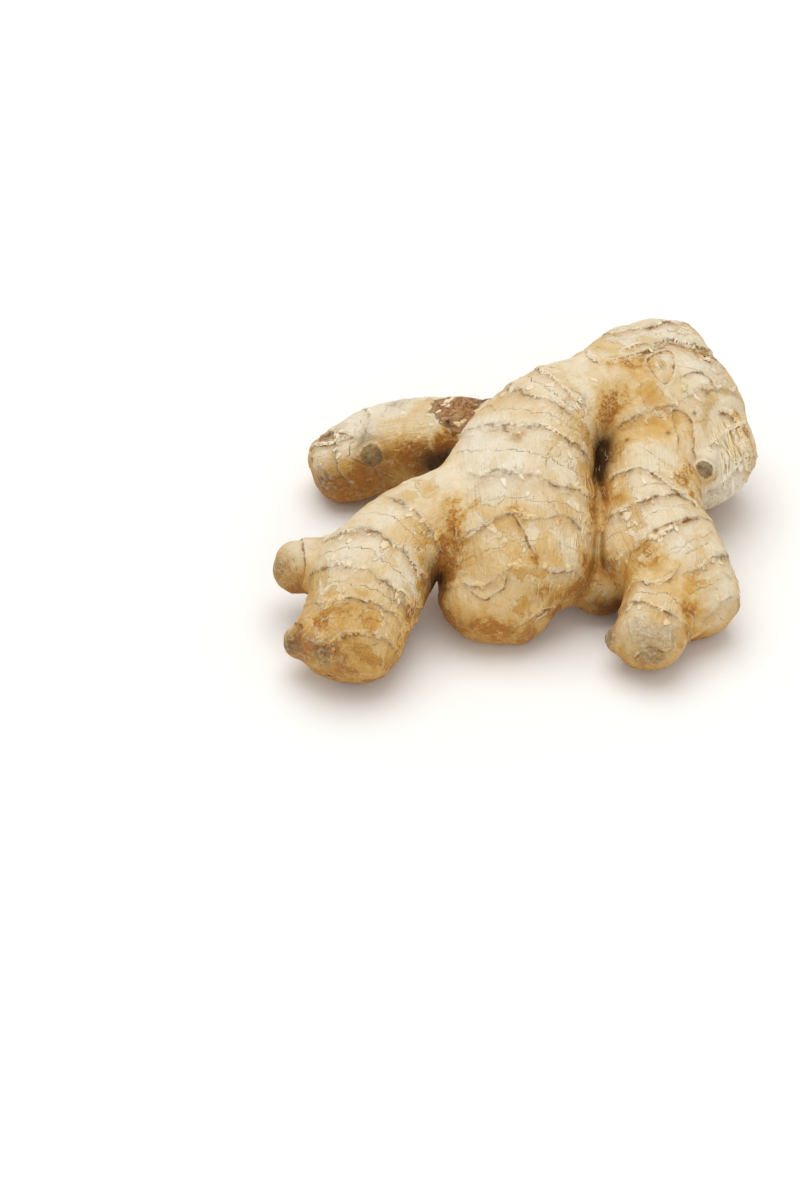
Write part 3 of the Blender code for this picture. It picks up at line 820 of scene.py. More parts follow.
class Skin:
    """What is known at each point of the skin: its lobe, the nearest ring, and hollows."""

    def __init__(self, points, normals, lobes, sight):
        self.points = points
        self.sight = sight
        leaders = [lobe for lobe in lobes if lobe.leader == lobe.name]
        read = {lobe.name: lobe.read(points) for lobe in lobes}
        groups = [[lobe for lobe in lobes if lobe.leader == leader.name] for leader in leaders]
        distances = [np.min([read[lobe.name][0] for lobe in group], axis=0) for group in groups]
        owner = np.argmin(distances, axis=0)
        ranked = np.sort(distances, axis=0)
        self.clear = np.clip((ranked[1] - ranked[0]) / RING_FADE, 0.0, 1.0)
        self.grain = np.zeros((len(points), 3))
        self.ahead = np.zeros((len(points), 3))
        self.past = np.full(len(points), NO_RING)
        for row, leader in enumerate(leaders):
            mine = owner == row
            self.grain[mine] = read[leader.name][1][mine] + GRAIN_SHIFT * row
            self.ahead[mine] = read[leader.name][2][mine]
            if not len(leader.rings):
                continue
            place = read[leader.name][1][mine, 2] + ring_waves(points[mine])
            place += pin_pull(points[mine], leader, sight)
            gaps = place[:, None] - leader.rings
            self.past[mine] = gaps[np.arange(len(gaps)), np.abs(gaps).argmin(1)]
        self.hollow = sum(
            np.clip(1 - blended(points + normals * reach, lobes) / reach, 0.0, 1.0)
            for reach in HOLLOW_REACHES
        ) / len(HOLLOW_REACHES)


def line_distance(points, normals, rows):
    """Distances from a line on the skin: to its right side plus, and along it past its ends."""
    start, run = rows[:-1], np.diff(rows, axis=0)
    length = (run**2).sum(1)
    near = np.linalg.norm(points - rows.mean(0), axis=1) < np.sqrt(length).sum() + NO_SEAM
    side = np.full(len(points), NO_SEAM)
    beyond = np.full(len(points), NO_SEAM)
    mine = points[near]
    share = ((mine[:, None] - start) * run).sum(-1) / length
    gap = mine[:, None] - (start + np.clip(share, 0.0, 1.0)[..., None] * run)
    reach = (gap**2).sum(-1)
    nearest = reach.argmin(1)
    pick = np.arange(len(mine))
    gap, share = gap[pick, nearest], share[pick, nearest]
    right = unit(np.cross(run[nearest], normals[near]))
    across = (gap * right).sum(1)
    total = np.sqrt(reach[pick, nearest])
    over = np.where((share < 0) | (share > 1), np.sqrt(np.maximum(total**2 - across**2, 0)), 0)
    side[near] = np.copysign(np.minimum(total, NO_SEAM), across)
    beyond[near] = over
    return side, beyond


def seam_fields(points, normals, sight):
    """The distance past the nearest seam, how strong it is and the height of its step."""
    past = np.full(len(points), NO_SEAM)
    strength, step = np.zeros(len(points)), np.zeros(len(points))
    for name, picks in SEAMS.items():
        side, beyond = line_distance(points, normals, sight.line(picks))
        nearer = np.abs(side) < np.abs(past)
        past[nearer] = side[nearer]
        strength[nearer] = np.clip(1 - beyond[nearer] / SEAM_FADE, 0.0, 1.0)
        step[nearer] = HIGH_SEAMS.get(name, SEAM_STEP)
    return past, strength, step


def eye_field(points, sight):
    """How far each point lies from the nearest knob, in its radii, and how strong it is."""
    share = np.full(len(points), NO_EYE)
    strength = np.zeros(len(points))
    for *centre, radius, weight in EYES:
        away = np.linalg.norm(points - sight.place(centre), axis=1) / radius
        nearer = away < share
        share[nearer] = away[nearer]
        strength[nearer] = weight
    return share, strength


def crack_field(points, normals, sight):
    """The distance to the nearest crack at each point."""
    nearest = np.full(len(points), NO_SEAM)
    for picks in CRACKS:
        side = line_distance(points, normals, sight.line(picks))[0]
        nearest = np.minimum(nearest, np.abs(side))
    return nearest


def step_profile(past, height, groove):
    """The height of the skin at a distance past a torn edge: a swelling, a step and a groove."""
    before = np.minimum(past, 0.0)
    after = np.maximum(past, 0.0)
    below_step = 0.5 + 0.5 * np.tanh(past / RING_EDGE)
    swelling = height * np.exp(before / RING_RISE)
    dip = groove * np.exp(-after / RING_FALL)
    return swelling * (1 - below_step) - dip * below_step


def spot_field(points, spots, sight):
    """The strength of soft-edged spots at each point."""
    total = np.zeros(len(points))
    for *centre, radius, strength in spots:
        share = ((points - sight.place(centre)) ** 2).sum(1) / radius**2
        total += strength * np.exp(-share)
    return total


def scar_relief(points, sight):
    """Dished round scars with raised rims. Negative depths are low round eyes."""
    height = np.zeros(len(points))
    for *centre, radius, depth, rim in SCARS:
        share = np.linalg.norm(points - sight.place(centre), axis=1) / radius
        dish = -depth * np.clip(1 - share**2, 0.0, 1.0)
        height += dish + rim * np.exp(-(((share - 1) / SCAR_RIM_WIDTH) ** 2))
    return height


def cork_relief(points):
    """Rough corky lumps where a branch was lost."""
    *centre, radius, roughness = CORK
    share = np.linalg.norm(points - np.array(centre), axis=1) / radius
    lumps = sum(height * ripple(points, size) for size, height in CORK_LUMPS)
    return roughness * np.clip(1 - share**2, 0.0, 1.0) * lumps


def fused_mesh(lobes):
    """One closed mesh round all the lobes, as an even grid of small faces."""
    tubes = bmesh.new()
    for lobe in lobes:
        lobe.loft(tubes)
    bmesh.ops.recalc_face_normals(tubes, faces=tubes.faces)
    mesh = bpy.data.meshes.new("tubes")
    tubes.to_mesh(mesh)
    tubes.free()
    lofted = bpy.data.objects.new("tubes", mesh)
    bpy.context.scene.collection.objects.link(lofted)
    remesh = lofted.modifiers.new("fuse", "REMESH")
    remesh.mode = "VOXEL"
    remesh.voxel_size = SKIN_GRID
    graph = bpy.context.evaluated_depsgraph_get()
    fused = bpy.data.meshes.new_from_object(lofted.evaluated_get(graph))
    bpy.data.objects.remove(lofted)
    bpy.data.meshes.remove(mesh)
    return fused


def coordinates(mesh):
    """The mesh's points, one row each."""
    flat = np.empty(len(mesh.vertices) * 3)
    mesh.vertices.foreach_get("co", flat)
    return flat.reshape(-1, 3)


def add_field(mesh, name, values):
    """Keeps a number or a vector for each point, under a name that the material reads."""
    values = np.asarray(values, np.float32)
    kind, key = ("FLOAT", "value") if values.ndim == 1 else ("FLOAT_VECTOR", "vector")
    mesh.attributes.new(name, kind, "POINT").data.foreach_set(key, values.ravel())


def linked(name, data, material=None):
    """A new object in the scene, in metres."""
    made = bpy.data.objects.new(name, data)
    bpy.context.scene.collection.objects.link(made)
    if material:
        data.materials.append(material)
    return made


def ridden(piece):
    """The piece, moving with the root."""
    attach(piece, BODY)
    return piece


def build_skin(lobes, material):
    """The skin in place of the solid. Also gives what is known at each of its points."""
    mesh = fused_mesh(lobes)
    points, normals = eased(coordinates(mesh), lobes)
    sight = Sight(points, mesh)
    skin = Skin(points, normals, lobes, sight)
    seam, torn, step = seam_fields(points, normals, sight)
    crack = crack_field(points, normals, sight)
    strength = uneven(points, RING_MEAN, RING_CHANGES) - spot_field(points, FAINT_SPOTS, sight)
    rings = skin.clear * np.clip(strength, RING_LEAST, 1.0)
    relief = sum(height * ripple(points, size) for size, height in LUMPS)
    relief += step_profile(skin.past, RING_STEP, RING_GROOVE) * rings
    relief += step_profile(seam, step, RING_GROOVE) * torn
    relief -= CRACK_DEPTH * np.exp(-((crack / CRACK_WIDTH) ** 2))
    relief += scar_relief(points, sight) + cork_relief(points)
    skin.raised = points + normals * relief[:, None]
    skin.raised[:, 2] = np.maximum(skin.raised[:, 2], 0.0)
    facing = np.maximum(normals[:, 2], LEAST_FACING)
    low = np.clip(1 - points[:, 2] / LOW_SKIN, 0.0, 1.0)
    # Painted shade: the skin turns warmer and darker where it faces away from the sky and in hollows
    skin.warmth = WARMTH + TURNED_AWAY_SHADE * (1 - facing) + LOW_WARMTH * low
    skin.warmth += HOLLOW_SHADE * skin.hollow
    skin.warmth += spot_field(points, TONE_SPOTS, sight)
    skin.stain = spot_field(points, WARM_SPOTS, sight)
    skin.dark = spot_field(points, DARK_SPOTS, sight)
    skin.eye, eye_strength = eye_field(points, sight)
    mesh.vertices.foreach_set("co", (skin.raised * MM).ravel())
    fields = {
        "past": np.clip(skin.past, -FURTHEST_PAST, FURTHEST_PAST),
        "ring": rings,
        "seam": np.clip(seam, -FURTHEST_PAST, FURTHEST_PAST),
        "seam_strength": torn,
        "seam_step": step,
        "crack": crack,
        "hollow": skin.hollow,
        "warmth": skin.warmth,
        "stain": skin.stain,
        "clear": skin.clear,
        "grey": spot_field(points, GREY_SPOTS, sight),
        "bare": spot_field(points, BARE_SPOTS, sight),
        "cork": spot_field(points, CORK_SPOTS, sight),
        "dark": skin.dark,
        "eye": skin.eye,
        "eye_strength": eye_strength,
        "grain": skin.grain,
    }
    for name, values in fields.items():
        add_field(mesh, name, values)
    mesh.shade_smooth()
    mesh.calc_loop_triangles()
    flat = np.empty(len(mesh.loop_triangles) * 3, np.int32)
    mesh.loop_triangles.foreach_get("vertices", flat)
    skin.triangles = flat.reshape(-1, 3)
    piece = ridden(linked("ginger_skin", mesh, material))
    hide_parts(NODE)
    return skin


class Value:
    """A number or colour that a material works out at each point, and the arithmetic on it."""

    def __init__(self, recipe, socket):
        self.recipe = recipe
        self.socket = socket

    def __add__(self, other):
        return self.recipe.math("ADD", self, other)

    def __mul__(self, other):
        return self.recipe.math("MULTIPLY", self, other)

    def __sub__(self, other):
        return self.recipe.math("SUBTRACT", self, other)

    def __rsub__(self, other):
        return self.recipe.math("SUBTRACT", other, self)

    def __truediv__(self, other):
        return self.recipe.math("DIVIDE", self, other)

    def at_most(self, limit):
        """The value, or the limit where it is larger."""
        return self.recipe.math("MINIMUM", self, limit)

    def between(self, low, high, start=0.0, end=1.0):
        """A smooth rise from start to end while the value goes from low to high."""
        inputs = {"Value": self, "From Min": low, "From Max": high, "To Min": start, "To Max": end}
        return self.recipe.node("MapRange", "Result", inputs, interpolation_type="SMOOTHSTEP")

    def band(self, middle, width):
        """1 where the value is at the middle, falling smoothly to 0 at that width from it."""
        return self.recipe.math("ABSOLUTE", self - middle).between(0.0, width, 1.0, 0.0)

    def centred(self, reach):
        """A value from 0 to 1 as one from minus to plus half of the reach."""
        return (self - 0.5) * reach

    def tones(self, stops):
        """A colour read from a row of (value, colour) stops."""
        colour = self.recipe.node("ValToRGB", "Color", {"Fac": self})
        elements = colour.socket.node.color_ramp.elements
        while len(elements) < len(stops):
            elements.new(1.0)
        for element, (position, tone) in zip(elements, stops):
            element.position = position
            element.color = (*tone, 1.0)
        return colour


class Recipe:
    """Adds the nodes of a material, one value at a time."""

    def __init__(self, name):
        self.material = bpy.data.materials.new(name)
        self.material.use_nodes = True
        self.tree = self.material.node_tree

    def feed(self, socket, value):
        """Links a value that another node gives, or sets a plain one."""
        if isinstance(value, Value):
            self.tree.links.new(value.socket, socket)
        elif socket.type == "RGBA":
            socket.default_value = (*value, 1.0)
        else:
            socket.default_value = value

    def node(self, kind, output, inputs, **settings):
        """What a new node gives at one of its outputs."""
        made = self.tree.nodes.new("ShaderNode" + kind)
        for name, setting in settings.items():
            setattr(made, name, setting)
        for name, value in inputs.items():
            self.feed(made.inputs[name], value)
        return Value(self, made.outputs[output])

    def math(self, operation, first, second=0.0):
        """One step of arithmetic."""
        return self.node("Math", 0, {0: first, 1: second}, operation=operation)

    def field(self, name, output="Fac"):
        """A number kept at the mesh's points, or a vector."""
        return self.node("Attribute", output, {}, attribute_name=name)

    def bumps(self, place, scale, size, detail, roughness, distortion):
        """Noise from 0 to 1 with bumps of one size, or of three sizes."""
        sizes = size if isinstance(size, tuple) else (size,) * 3
        stretch = tuple(scale / one for one in sizes)
        inputs = {
            "Vector": self.node("VectorMath", 0, {0: place, 1: stretch}, operation="MULTIPLY"),
            "Scale": 1.0,
            "Detail": detail,
            "Roughness": roughness,
            "Distortion": distortion,
        }
        return self.node("TexNoise", "Fac", inputs)

    def noise(self, name):
        """One of the noises, in millimetres on the piece."""
        return self.bumps(self.node("TexCoord", "Object", {}), 1 / MM, *NOISES[name])

    def grain(self, name):
        """One of the noises along the grain. It is even, at a half, where that isn't clear."""
        run = self.bumps(self.field("grain", "Vector"), 1.0, *GRAINS[name])
        return run.centred(self.field("clear")) + 0.5

    def mix(self, share, first, second):
        """The first colour turning into the second by a share."""
        inputs = {"Factor": share, "A": first, "B": second}
        return self.node("Mix", "Result", inputs, data_type="RGBA")

    def painted(self, colour, layers):
        """The colour with layers over it, each a share and a colour, the lowest first."""
        for share, tone in layers:
            colour = self.mix(share, colour, tone)
        return colour

    def finished(self, colour, roughness, height=None, specular=None):
        """The material, with its relief given as a height in millimetres."""
        inputs = {"Base Color": colour, "Roughness": roughness}
        if height:
            bump = {"Strength": 1.0, "Distance": MM, "Height": height}
            inputs["Normal"] = self.node("Bump", "Normal", bump)
        if specular:
            inputs["Specular IOR Level"] = specular
        shader = self.tree.nodes["Principled BSDF"]
        for name, value in inputs.items():
            self.feed(shader.inputs[name], value)
        return self.material


def paper_tone(recipe, fibres, patch, shift=0.0):
    """The skin's colour and painted shade, from cream through gold to ochre, moved along by a shift."""
    blotch = recipe.noise("blotch")
    cloud = blotch.between(0.47, 0.56)
    stain = recipe.field("stain") * recipe.noise("rust").between(0.35, 0.62, 0.1, 1.25)
    tone = recipe.field("warmth") + stain + shift + cloud.centred(0.08)
    tone = tone + blotch.centred(0.5) + patch.centred(0.4) + fibres.centred(0.5)
    return tone.tones(SKIN_TONES)


def paleness(recipe):
    """How pale the skin is, from little where it is warm or in painted shade to 1."""
    return recipe.field("warmth").between(0.45, 0.8, 1.0, 0.2)


def torn_edges(recipe, ragged):
    """Each point's share of dark line and painted shadow, pale lip and painted highlight, stain, crumbs
    and raised edge.
    """
    broken = recipe.noise("broken").between(0.4, 0.62)
    wander = recipe.noise("wander").centred(1.6)
    ring, torn = recipe.field("ring"), recipe.field("seam_strength")
    lifted = recipe.field("seam_step").between(0.45, 0.9)
    past = recipe.field("past") + wander + ragged.centred(0.5)
    seam = recipe.field("seam") + wander * 0.5 + ragged.centred(0.5)
    width = broken * 0.5 + 0.12
    strength = broken + 0.15
    # The dark line is the brown scar of a torn edge, with painted shadow in its groove
    line = (past / width).band(0.2, 1.0) * ring * strength
    line += (seam / width).band(0.2, 1.0) * torn * strength
    # The lip is the pale dry edge of the upper layer, with a painted highlight
    lip_and_highlight = past.band(-0.6, 0.7) * ring * broken
    lip_and_highlight += seam.band(-0.45, 0.45) * torn * (broken * 0.6 + 0.1)
    lip_and_highlight += seam.band(-0.4, 0.5) * torn * lifted * 0.8
    below = past.between(0.3, 4.0, 1.0, 0.0) * past.between(-0.2, 0.3) * ring
    below += seam.band(0.5, 1.4) * torn * 0.6
    crumbly = past.band(0.0, 1.8) * ring * broken
    step = past.between(-0.15, 0.2, 1.0, 0.0) * ring * 0.22
    step += seam.between(-0.15, 0.2, 1.0, 0.0) * torn * 0.2
    return line, lip_and_highlight, below, crumbly, step


def eye_layers(recipe, ragged, crumb):
    """Grey-brown knobs with a golden rim and a stained edge."""
    blots = recipe.noise("uneven")
    eye = recipe.field("eye") + ragged.centred(0.3) + blots.centred(0.8)
    strength = recipe.field("eye_strength")
    return (
        (eye.between(0.75, 0.95, 1.0, 0.0) * strength * 0.9, crumb.tones(KNOB_TONES)),
        (eye.band(1.0, 0.25) * strength * 0.12, BARE_YELLOW),
        (eye.band(1.35, 0.5) * strength * blots * 0.5, BROWN),
    )


def skin_material():
    """Dry papery skin in thin layers, with torn edges, fibres, scars and stains."""
    recipe = Recipe("ginger_skin_paper")
    field, noise_of = recipe.field, recipe.noise
    fibres, threads, dashes, crease = (recipe.grain(name) for name in GRAINS)
    ragged, fine, patch = noise_of("ragged"), noise_of("fine"), noise_of("patch")
    crumb, bark = noise_of("crumb"), noise_of("bark")
    layers = noise_of("layers") + ragged.centred(0.05)
    some = noise_of("some").between(0.48, 0.62)
    peeled = layers.between(0.50, 0.515) * some
    line, lip_and_highlight, below, crumbly, step = torn_edges(recipe, ragged)
    pale = paleness(recipe)
    warm = (field("warmth") + field("stain")).between(0.55, 0.95)
    worn = (field("grey") * 1.5).at_most(1.0)
    wrinkle = crease.band(0.5, 0.03) * worn
    grey = field("grey") * (patch * 1.4 + 0.2)
    bare = (field("bare") + patch.centred(0.5)).between(0.3, 0.6)
    cork = (field("cork") + patch.centred(1.5)).between(0.3, 0.55)
    gap = field("crack").band(0.0, 0.36) * ragged.between(0.3, 0.6)
    # Soil and painted shade: deep brown at the dark spots and in the deepest hollows
    soil_and_shade = field("dark") * (patch + 0.6) + field("hollow").between(0.85, 1.0, 0.0, 0.4)
    tones = (
        # Dry fibres, flecks, mould, freckles and flaking
        (fibres.between(0.53, 0.68) * (1.0 - peeled) * pale * 0.4, LIP_CREAM),
        (dashes.between(0.62, 0.72) * 0.45, OCHRE),
        (noise_of("mould").between(0.6, 0.72) * 0.3, GREY_BROWN),
        (noise_of("freckle").between(0.54, 0.66) * warm * 0.55, BROWN),
        (crumb.between(0.56, 0.64) * warm * 0.4, CREAM),
        # Stains below torn edges, and the rims and wrinkles of thin layers
        (below * patch * 0.8, OCHRE),
        (layers.band(0.495, 0.02) * some * pale * 0.4, LIP_CREAM),
        (layers.band(0.515, 0.012) * some * 0.4, LINE_BROWN),
        (wrinkle * 0.5, LINE_BROWN),
        # Crumbs, and pale dry lips of torn edges with a painted highlight
        (crumbly * 0.45, crumb.tones(CRUST_TONES)),
        (lip_and_highlight * 0.65, LIP_CREAM),
        # Grey skin, bare flesh, cork and knobs
        (grey.at_most(0.9), crumb.tones(GREY_TONES)),
        (bare * 0.85, threads.tones(BARE_TONES)),
        (cork * 0.9, bark.tones(CORK_TONES)),
        *eye_layers(recipe, ragged, crumb),
        # Dark lines: brown scars and cracks, with painted shadow in the grooves; soil and painted shade
        ((line + gap) * 0.8, LINE_BROWN),
        (soil_and_shade.at_most(0.94), DEEP_BROWN),
    )
    colour = recipe.painted(paper_tone(recipe, fibres, patch, peeled * 0.10), tones)
    roughness = (fine + bare + peeled).between(0.2, 2.2, 0.66, 0.44)
    height = (
        fibres * 0.34
        + threads * (bare * 0.9 + 0.30)
        + crease * (worn * 0.6 + 0.08)
        + patch * 0.5
        + crumb * (warm * 0.25 + 0.12)
        + fine * 0.14
        - peeled * 0.14
        - wrinkle * 0.10
        + crumb * (grey * 0.5 + crumbly) * 1.1
        + bark * cork * 2.4
        - (line + gap) * 0.10
        + field("eye_strength") * field("eye").band(1.0, 0.35) * 0.08
        + step
    )
    return recipe.finished(colour, roughness, height, SKIN_SHINE)


def sheath_material():
    """Thin torn sheath: the skin's tones with their painted shade, and paler, drier edges."""
    recipe = Recipe("ginger_sheath_paper")
    fibres = recipe.noise("sheath")
    edge = recipe.field("edge").between(0.45, 1.0)
    tones = (
        (edge * fibres * paleness(recipe) * 0.8, LIP_CREAM),
        # Soil and painted shade of the deepest folds, carried over from the skin
        (recipe.field("dark").at_most(0.9), DEEP_BROWN),
    )
    colour = recipe.painted(paper_tone(recipe, fibres, fibres), tones)
    roughness = fibres.between(0.2, 0.8, 0.55, 0.7)
    return recipe.finished(colour, roughness, fibres * 0.15, SHEATH_SHINE)


def hair_material():
    """Pale dry root hairs, browner towards some tips."""
    recipe = Recipe("ginger_hair")
    shade = recipe.noise("hair")
    colour = recipe.mix(shade, HAIR_CREAM, HAIR_TAN)
    return recipe.finished(colour, HAIR_ROUGHNESS, shade * 0.05)


class Sheets:
    """Gathers thin curved sheets that lie on the skin, and makes one piece of them."""

    def __init__(self, skin):
        self.skin = skin
        self.tree = BVHTree.FromPolygons(skin.raised.tolist(), skin.triangles.tolist())
        self.points = []
        self.faces = []
        self.edge = []

    def nearest(self, point):
        """The nearest place on the skin and the skin's outward direction there."""
        place, normal, _, _ = self.tree.find_nearest(Vector(point))
        return np.array(place), np.array(normal)

    def add(self, rows, normals, edges):
        """Adds a sheet given as rows of points, with the outward direction of each column."""
        count, across = len(rows), len(rows[0])
        start = len(self.points)
        for sunk in (0.0, SHEET_THICKNESS):
            for row in rows:
                self.points += [point - normal * sunk for point, normal in zip(row, normals)]
        self.edge += [edge for _ in range(2) for edge in edges for _ in range(across)]

        def face(*corners):
            """One face, from its corners' layers, rows and columns."""
            self.faces.append([start + (a * count + b) * across + c for a, b, c in corners])

        for row in range(count - 1):
            for i in range(across - 1):
                face((0, row, i), (0, row, i + 1), (0, row + 1, i + 1), (0, row + 1, i))
                face((1, row, i), (1, row + 1, i), (1, row + 1, i + 1), (1, row, i + 1))
        for i in range(across - 1):
            for row, (one, two) in ((0, (i + 1, i)), (count - 1, (i, i + 1))):
                face((0, row, one), (0, row, two), (1, row, two), (1, row, one))
        for row in range(count - 1):
            for i, (one, two) in ((0, (row, row + 1)), (across - 1, (row + 1, row))):
                face((0, one, i), (0, two, i), (1, two, i), (1, one, i))

    def build(self, name, material):
        """The gathered sheets as one piece."""
        points = np.array(self.points)
        points[:, 2] = np.maximum(points[:, 2], SHEET_THICKNESS / 2)
        mesh = bpy.data.meshes.new(name)
        mesh.from_pydata((points * MM).tolist(), [], self.faces)
        found = [self.tree.find_nearest(Vector(point))[2] for point in points]
        nearest = self.skin.triangles[found, 0]
        add_field(mesh, "warmth", self.skin.warmth[nearest])
        add_field(mesh, "stain", self.skin.stain[nearest] * SHEET_STAIN)
        add_field(mesh, "dark", self.skin.dark[nearest])
        add_field(mesh, "edge", self.edge)
        mesh.shade_smooth()
        return ridden(linked(name, mesh, material))


def contour_lines(skin):
    """The rings as lines on the skin: rows of points, and the way past the ring at each."""
    past = np.where(skin.clear > FRILL_CLEAR, skin.past, np.inf)
    rows = skin.triangles[np.abs(past[skin.triangles]).max(1) < RING_FALL]
    ends = rows[:, [[0, 1], [1, 2], [2, 0]]]
    crosses = (past[ends[..., 0]] > 0) != (past[ends[..., 1]] > 0)
    pairs = np.sort(ends[crosses], axis=1).astype(np.int64)
    keys, index = np.unique(pairs[:, 0] * len(past) + pairs[:, 1], return_inverse=True)
    first, second = keys // len(past), keys % len(past)
    share = past[first] / (past[first] - past[second])
    span = skin.raised[second] - skin.raised[first]
    points = skin.raised[first] + span * share[:, None]
    rises = span * np.sign(past[second] - past[first])[:, None]
    links = [[] for _ in keys]
    for one, two in index.reshape(-1, 2).tolist():
        links[one].append(two)
        links[two].append(one)
    unseen = np.ones(len(keys), bool)
    starts = [i for i, joined in enumerate(links) if len(joined) == 1] + list(range(len(keys)))
    lines = []
    for start in starts:
        chain = []
        here = start
        while here is not None and unseen[here]:
            unseen[here] = False
            chain.append(here)
            here = next((other for other in links[here] if unseen[other]), None)
        if len(chain) > FRILL_SHORTEST:
            lines.append((points[chain], rises[chain]))
    return lines


def smoothed(rows, passes):
    """Rows of numbers averaged with their neighbours."""
    for _ in range(passes):
        middle = (rows[:-2] + 2 * rows[1:-1] + rows[2:]) / 4
        rows = np.vstack([rows[:1], middle, rows[-1:]])
    return rows


def respaced(points, others, step):
    """Points moved along their line to even steps, with the rows that go with them."""
    lengths = np.linalg.norm(np.diff(points, axis=0), axis=1)
    arc = np.concatenate([[0.0], np.cumsum(lengths)])
    wanted = np.arange(0.0, arc[-1], step)
    table = np.hstack([points, others])
    made = np.stack([np.interp(wanted, arc, column) for column in table.T], axis=1)
    return made[:, :3], made[:, 3:]


def runs(wanted):
    """The runs of neighbouring places at which something is wanted."""
    found, here = [], []
    for i, want in enumerate([*wanted, False]):
        if want:
            here.append(i)
        else:
            found.append(here)
            here = []
    return found


def add_frill(sheets, points, aheads, share):
    """Adds torn sheath edges along a line on the skin, where its ragged strength is above 0."""
    strength = uneven(points, share, FRILL_CHANGES)
    strength += spot_field(points, FRILL_SPOTS, sheets.skin.sight)
    strength = np.clip(strength, 0.0, FRILL_STRONGEST)
    ragged = uneven(points, *FRILL_RAGGED)
    curl = uneven(points, *FRILL_CURL)
    for here in runs(strength > 0.0):
        if len(here) < FRILL_SHORTEST:
            continue
        rows, normals = [[] for _ in FRILL_EDGES], []
        for i, j in enumerate(here):
            ahead = aheads[j]
            end = min(1.0, min(i, len(here) - 1 - i) / FRILL_TAPER)
            reach = (FRILL_REACH[0] + FRILL_REACH[1] * strength[j] * ragged[j]) * end
            lift = (FRILL_LIFT[0] + FRILL_LIFT[1] * strength[j] * curl[j]) * end
            rows[0].append(sheets.nearest(points[j] - ahead * FRILL_ROOT)[0])
            base, normal = sheets.nearest(points[j] - ahead * FRILL_FOOT)
            for row, (foot, gap, far, high) in zip(rows[1:], FRILL_ROWS):
                row.append(base + ahead * (foot + far * reach) + normal * (gap + high * lift))
            normals.append(normal)
        sheets.add(rows, normals, FRILL_EDGES)


def level(sheets, points, rises):
    """The ways past a ring, laid along the skin and square to the ring."""
    normals = np.array([sheets.nearest(point)[1] for point in points])
    square = unit(np.cross(np.gradient(points, axis=0), normals))
    return square * np.sign((square * rises).sum(1).mean())


def build_frills(skin, sheets, material):
    """Torn sheath edges along the rings and seams."""
    for points, rises in contour_lines(skin):
        rises = smoothed(rises, WAY_SMOOTHING)
        points, rises = respaced(smoothed(points, LINE_SMOOTHING), rises, FRILL_STEP)
        if len(points) < FRILL_SHORTEST:
            continue
        add_frill(sheets, points, level(sheets, points, rises), FRILL_SHARE)
    for name in FRILLED_SEAMS:
        rows = skin.sight.line(SEAMS[name], SPINE_STEPS)
        points, _ = respaced(rows, rows, FRILL_STEP)
        placed = [sheets.nearest(point) for point in points]
        normals = np.array([normal for _, normal in placed])
        points = np.array([place for place, _ in placed])
        aheads = unit(np.cross(np.gradient(points, axis=0), normals))
        add_frill(sheets, points, aheads, SEAM_FRILL_SHARE)
    return sheets.build("sheath_frills", material)


def build_flakes(skin, sheets, material):
    """Small loose scales of skin, mostly near the rings."""
    dice = random.Random(SEED)
    near = np.exp(-((skin.past / FLAKE_RING_REACH) ** 2)) + FLAKE_ELSEWHERE
    near += spot_field(skin.points, FLAKE_SPOTS, skin.sight)
    near *= (skin.points[:, 2] > FLAKE_LOWEST) & (skin.eye > FLAKE_EYE_CLEAR)
    near *= skin.dark < FLAKE_DARKEST
    chance = np.cumsum(near) / near.sum()
    for _ in range(FLAKES):
        index = int(np.searchsorted(chance, dice.random()))
        place, normal = sheets.nearest(skin.raised[index])
        ahead = unit(np.cross(np.cross(normal, skin.ahead[index]), normal))
        side = np.cross(normal, ahead)
        turn = dice.uniform(-FLAKE_TURN, FLAKE_TURN)
        ahead, side = (
            ahead * math.cos(turn) + side * math.sin(turn),
            side * math.cos(turn) - ahead * math.sin(turn),
        )
        length = dice.uniform(*FLAKE_LENGTHS)
        width = length * dice.uniform(*FLAKE_WIDTHS)
        lift = dice.uniform(*FLAKE_LIFT)
        rows = []
        for share in FLAKE_ROWS:
            half = width / 2 * (1 - share**2 * dice.uniform(*FLAKE_ROUNDING))
            rise = SHEET_GAP * (share > 0) + lift * share**2
            row = []
            for across in FLAKE_COLUMNS:
                spot = place + ahead * (length * (share - FLAKE_ROOT)) + side * (half * across)
                jag = dice.uniform(-FLAKE_JAG, FLAKE_JAG) * length
                row.append(sheets.nearest(spot)[0] + normal * rise + ahead * (jag * share))
            rows.append(row)
        sheets.add(rows, [normal] * len(FLAKE_COLUMNS), FLAKE_EDGES)
    return sheets.build("skin_flakes", material)


def scattered(dice, sheets, centre, radius):
    """A random place on the skin near a centre, and the skin's outward direction there."""
    return sheets.nearest([value + dice.gauss(0, radius / 2) for value in centre])


def jitter(dice, reach):
    """A random step of about that reach."""
    return np.array([dice.gauss(0, reach) for _ in range(3)])


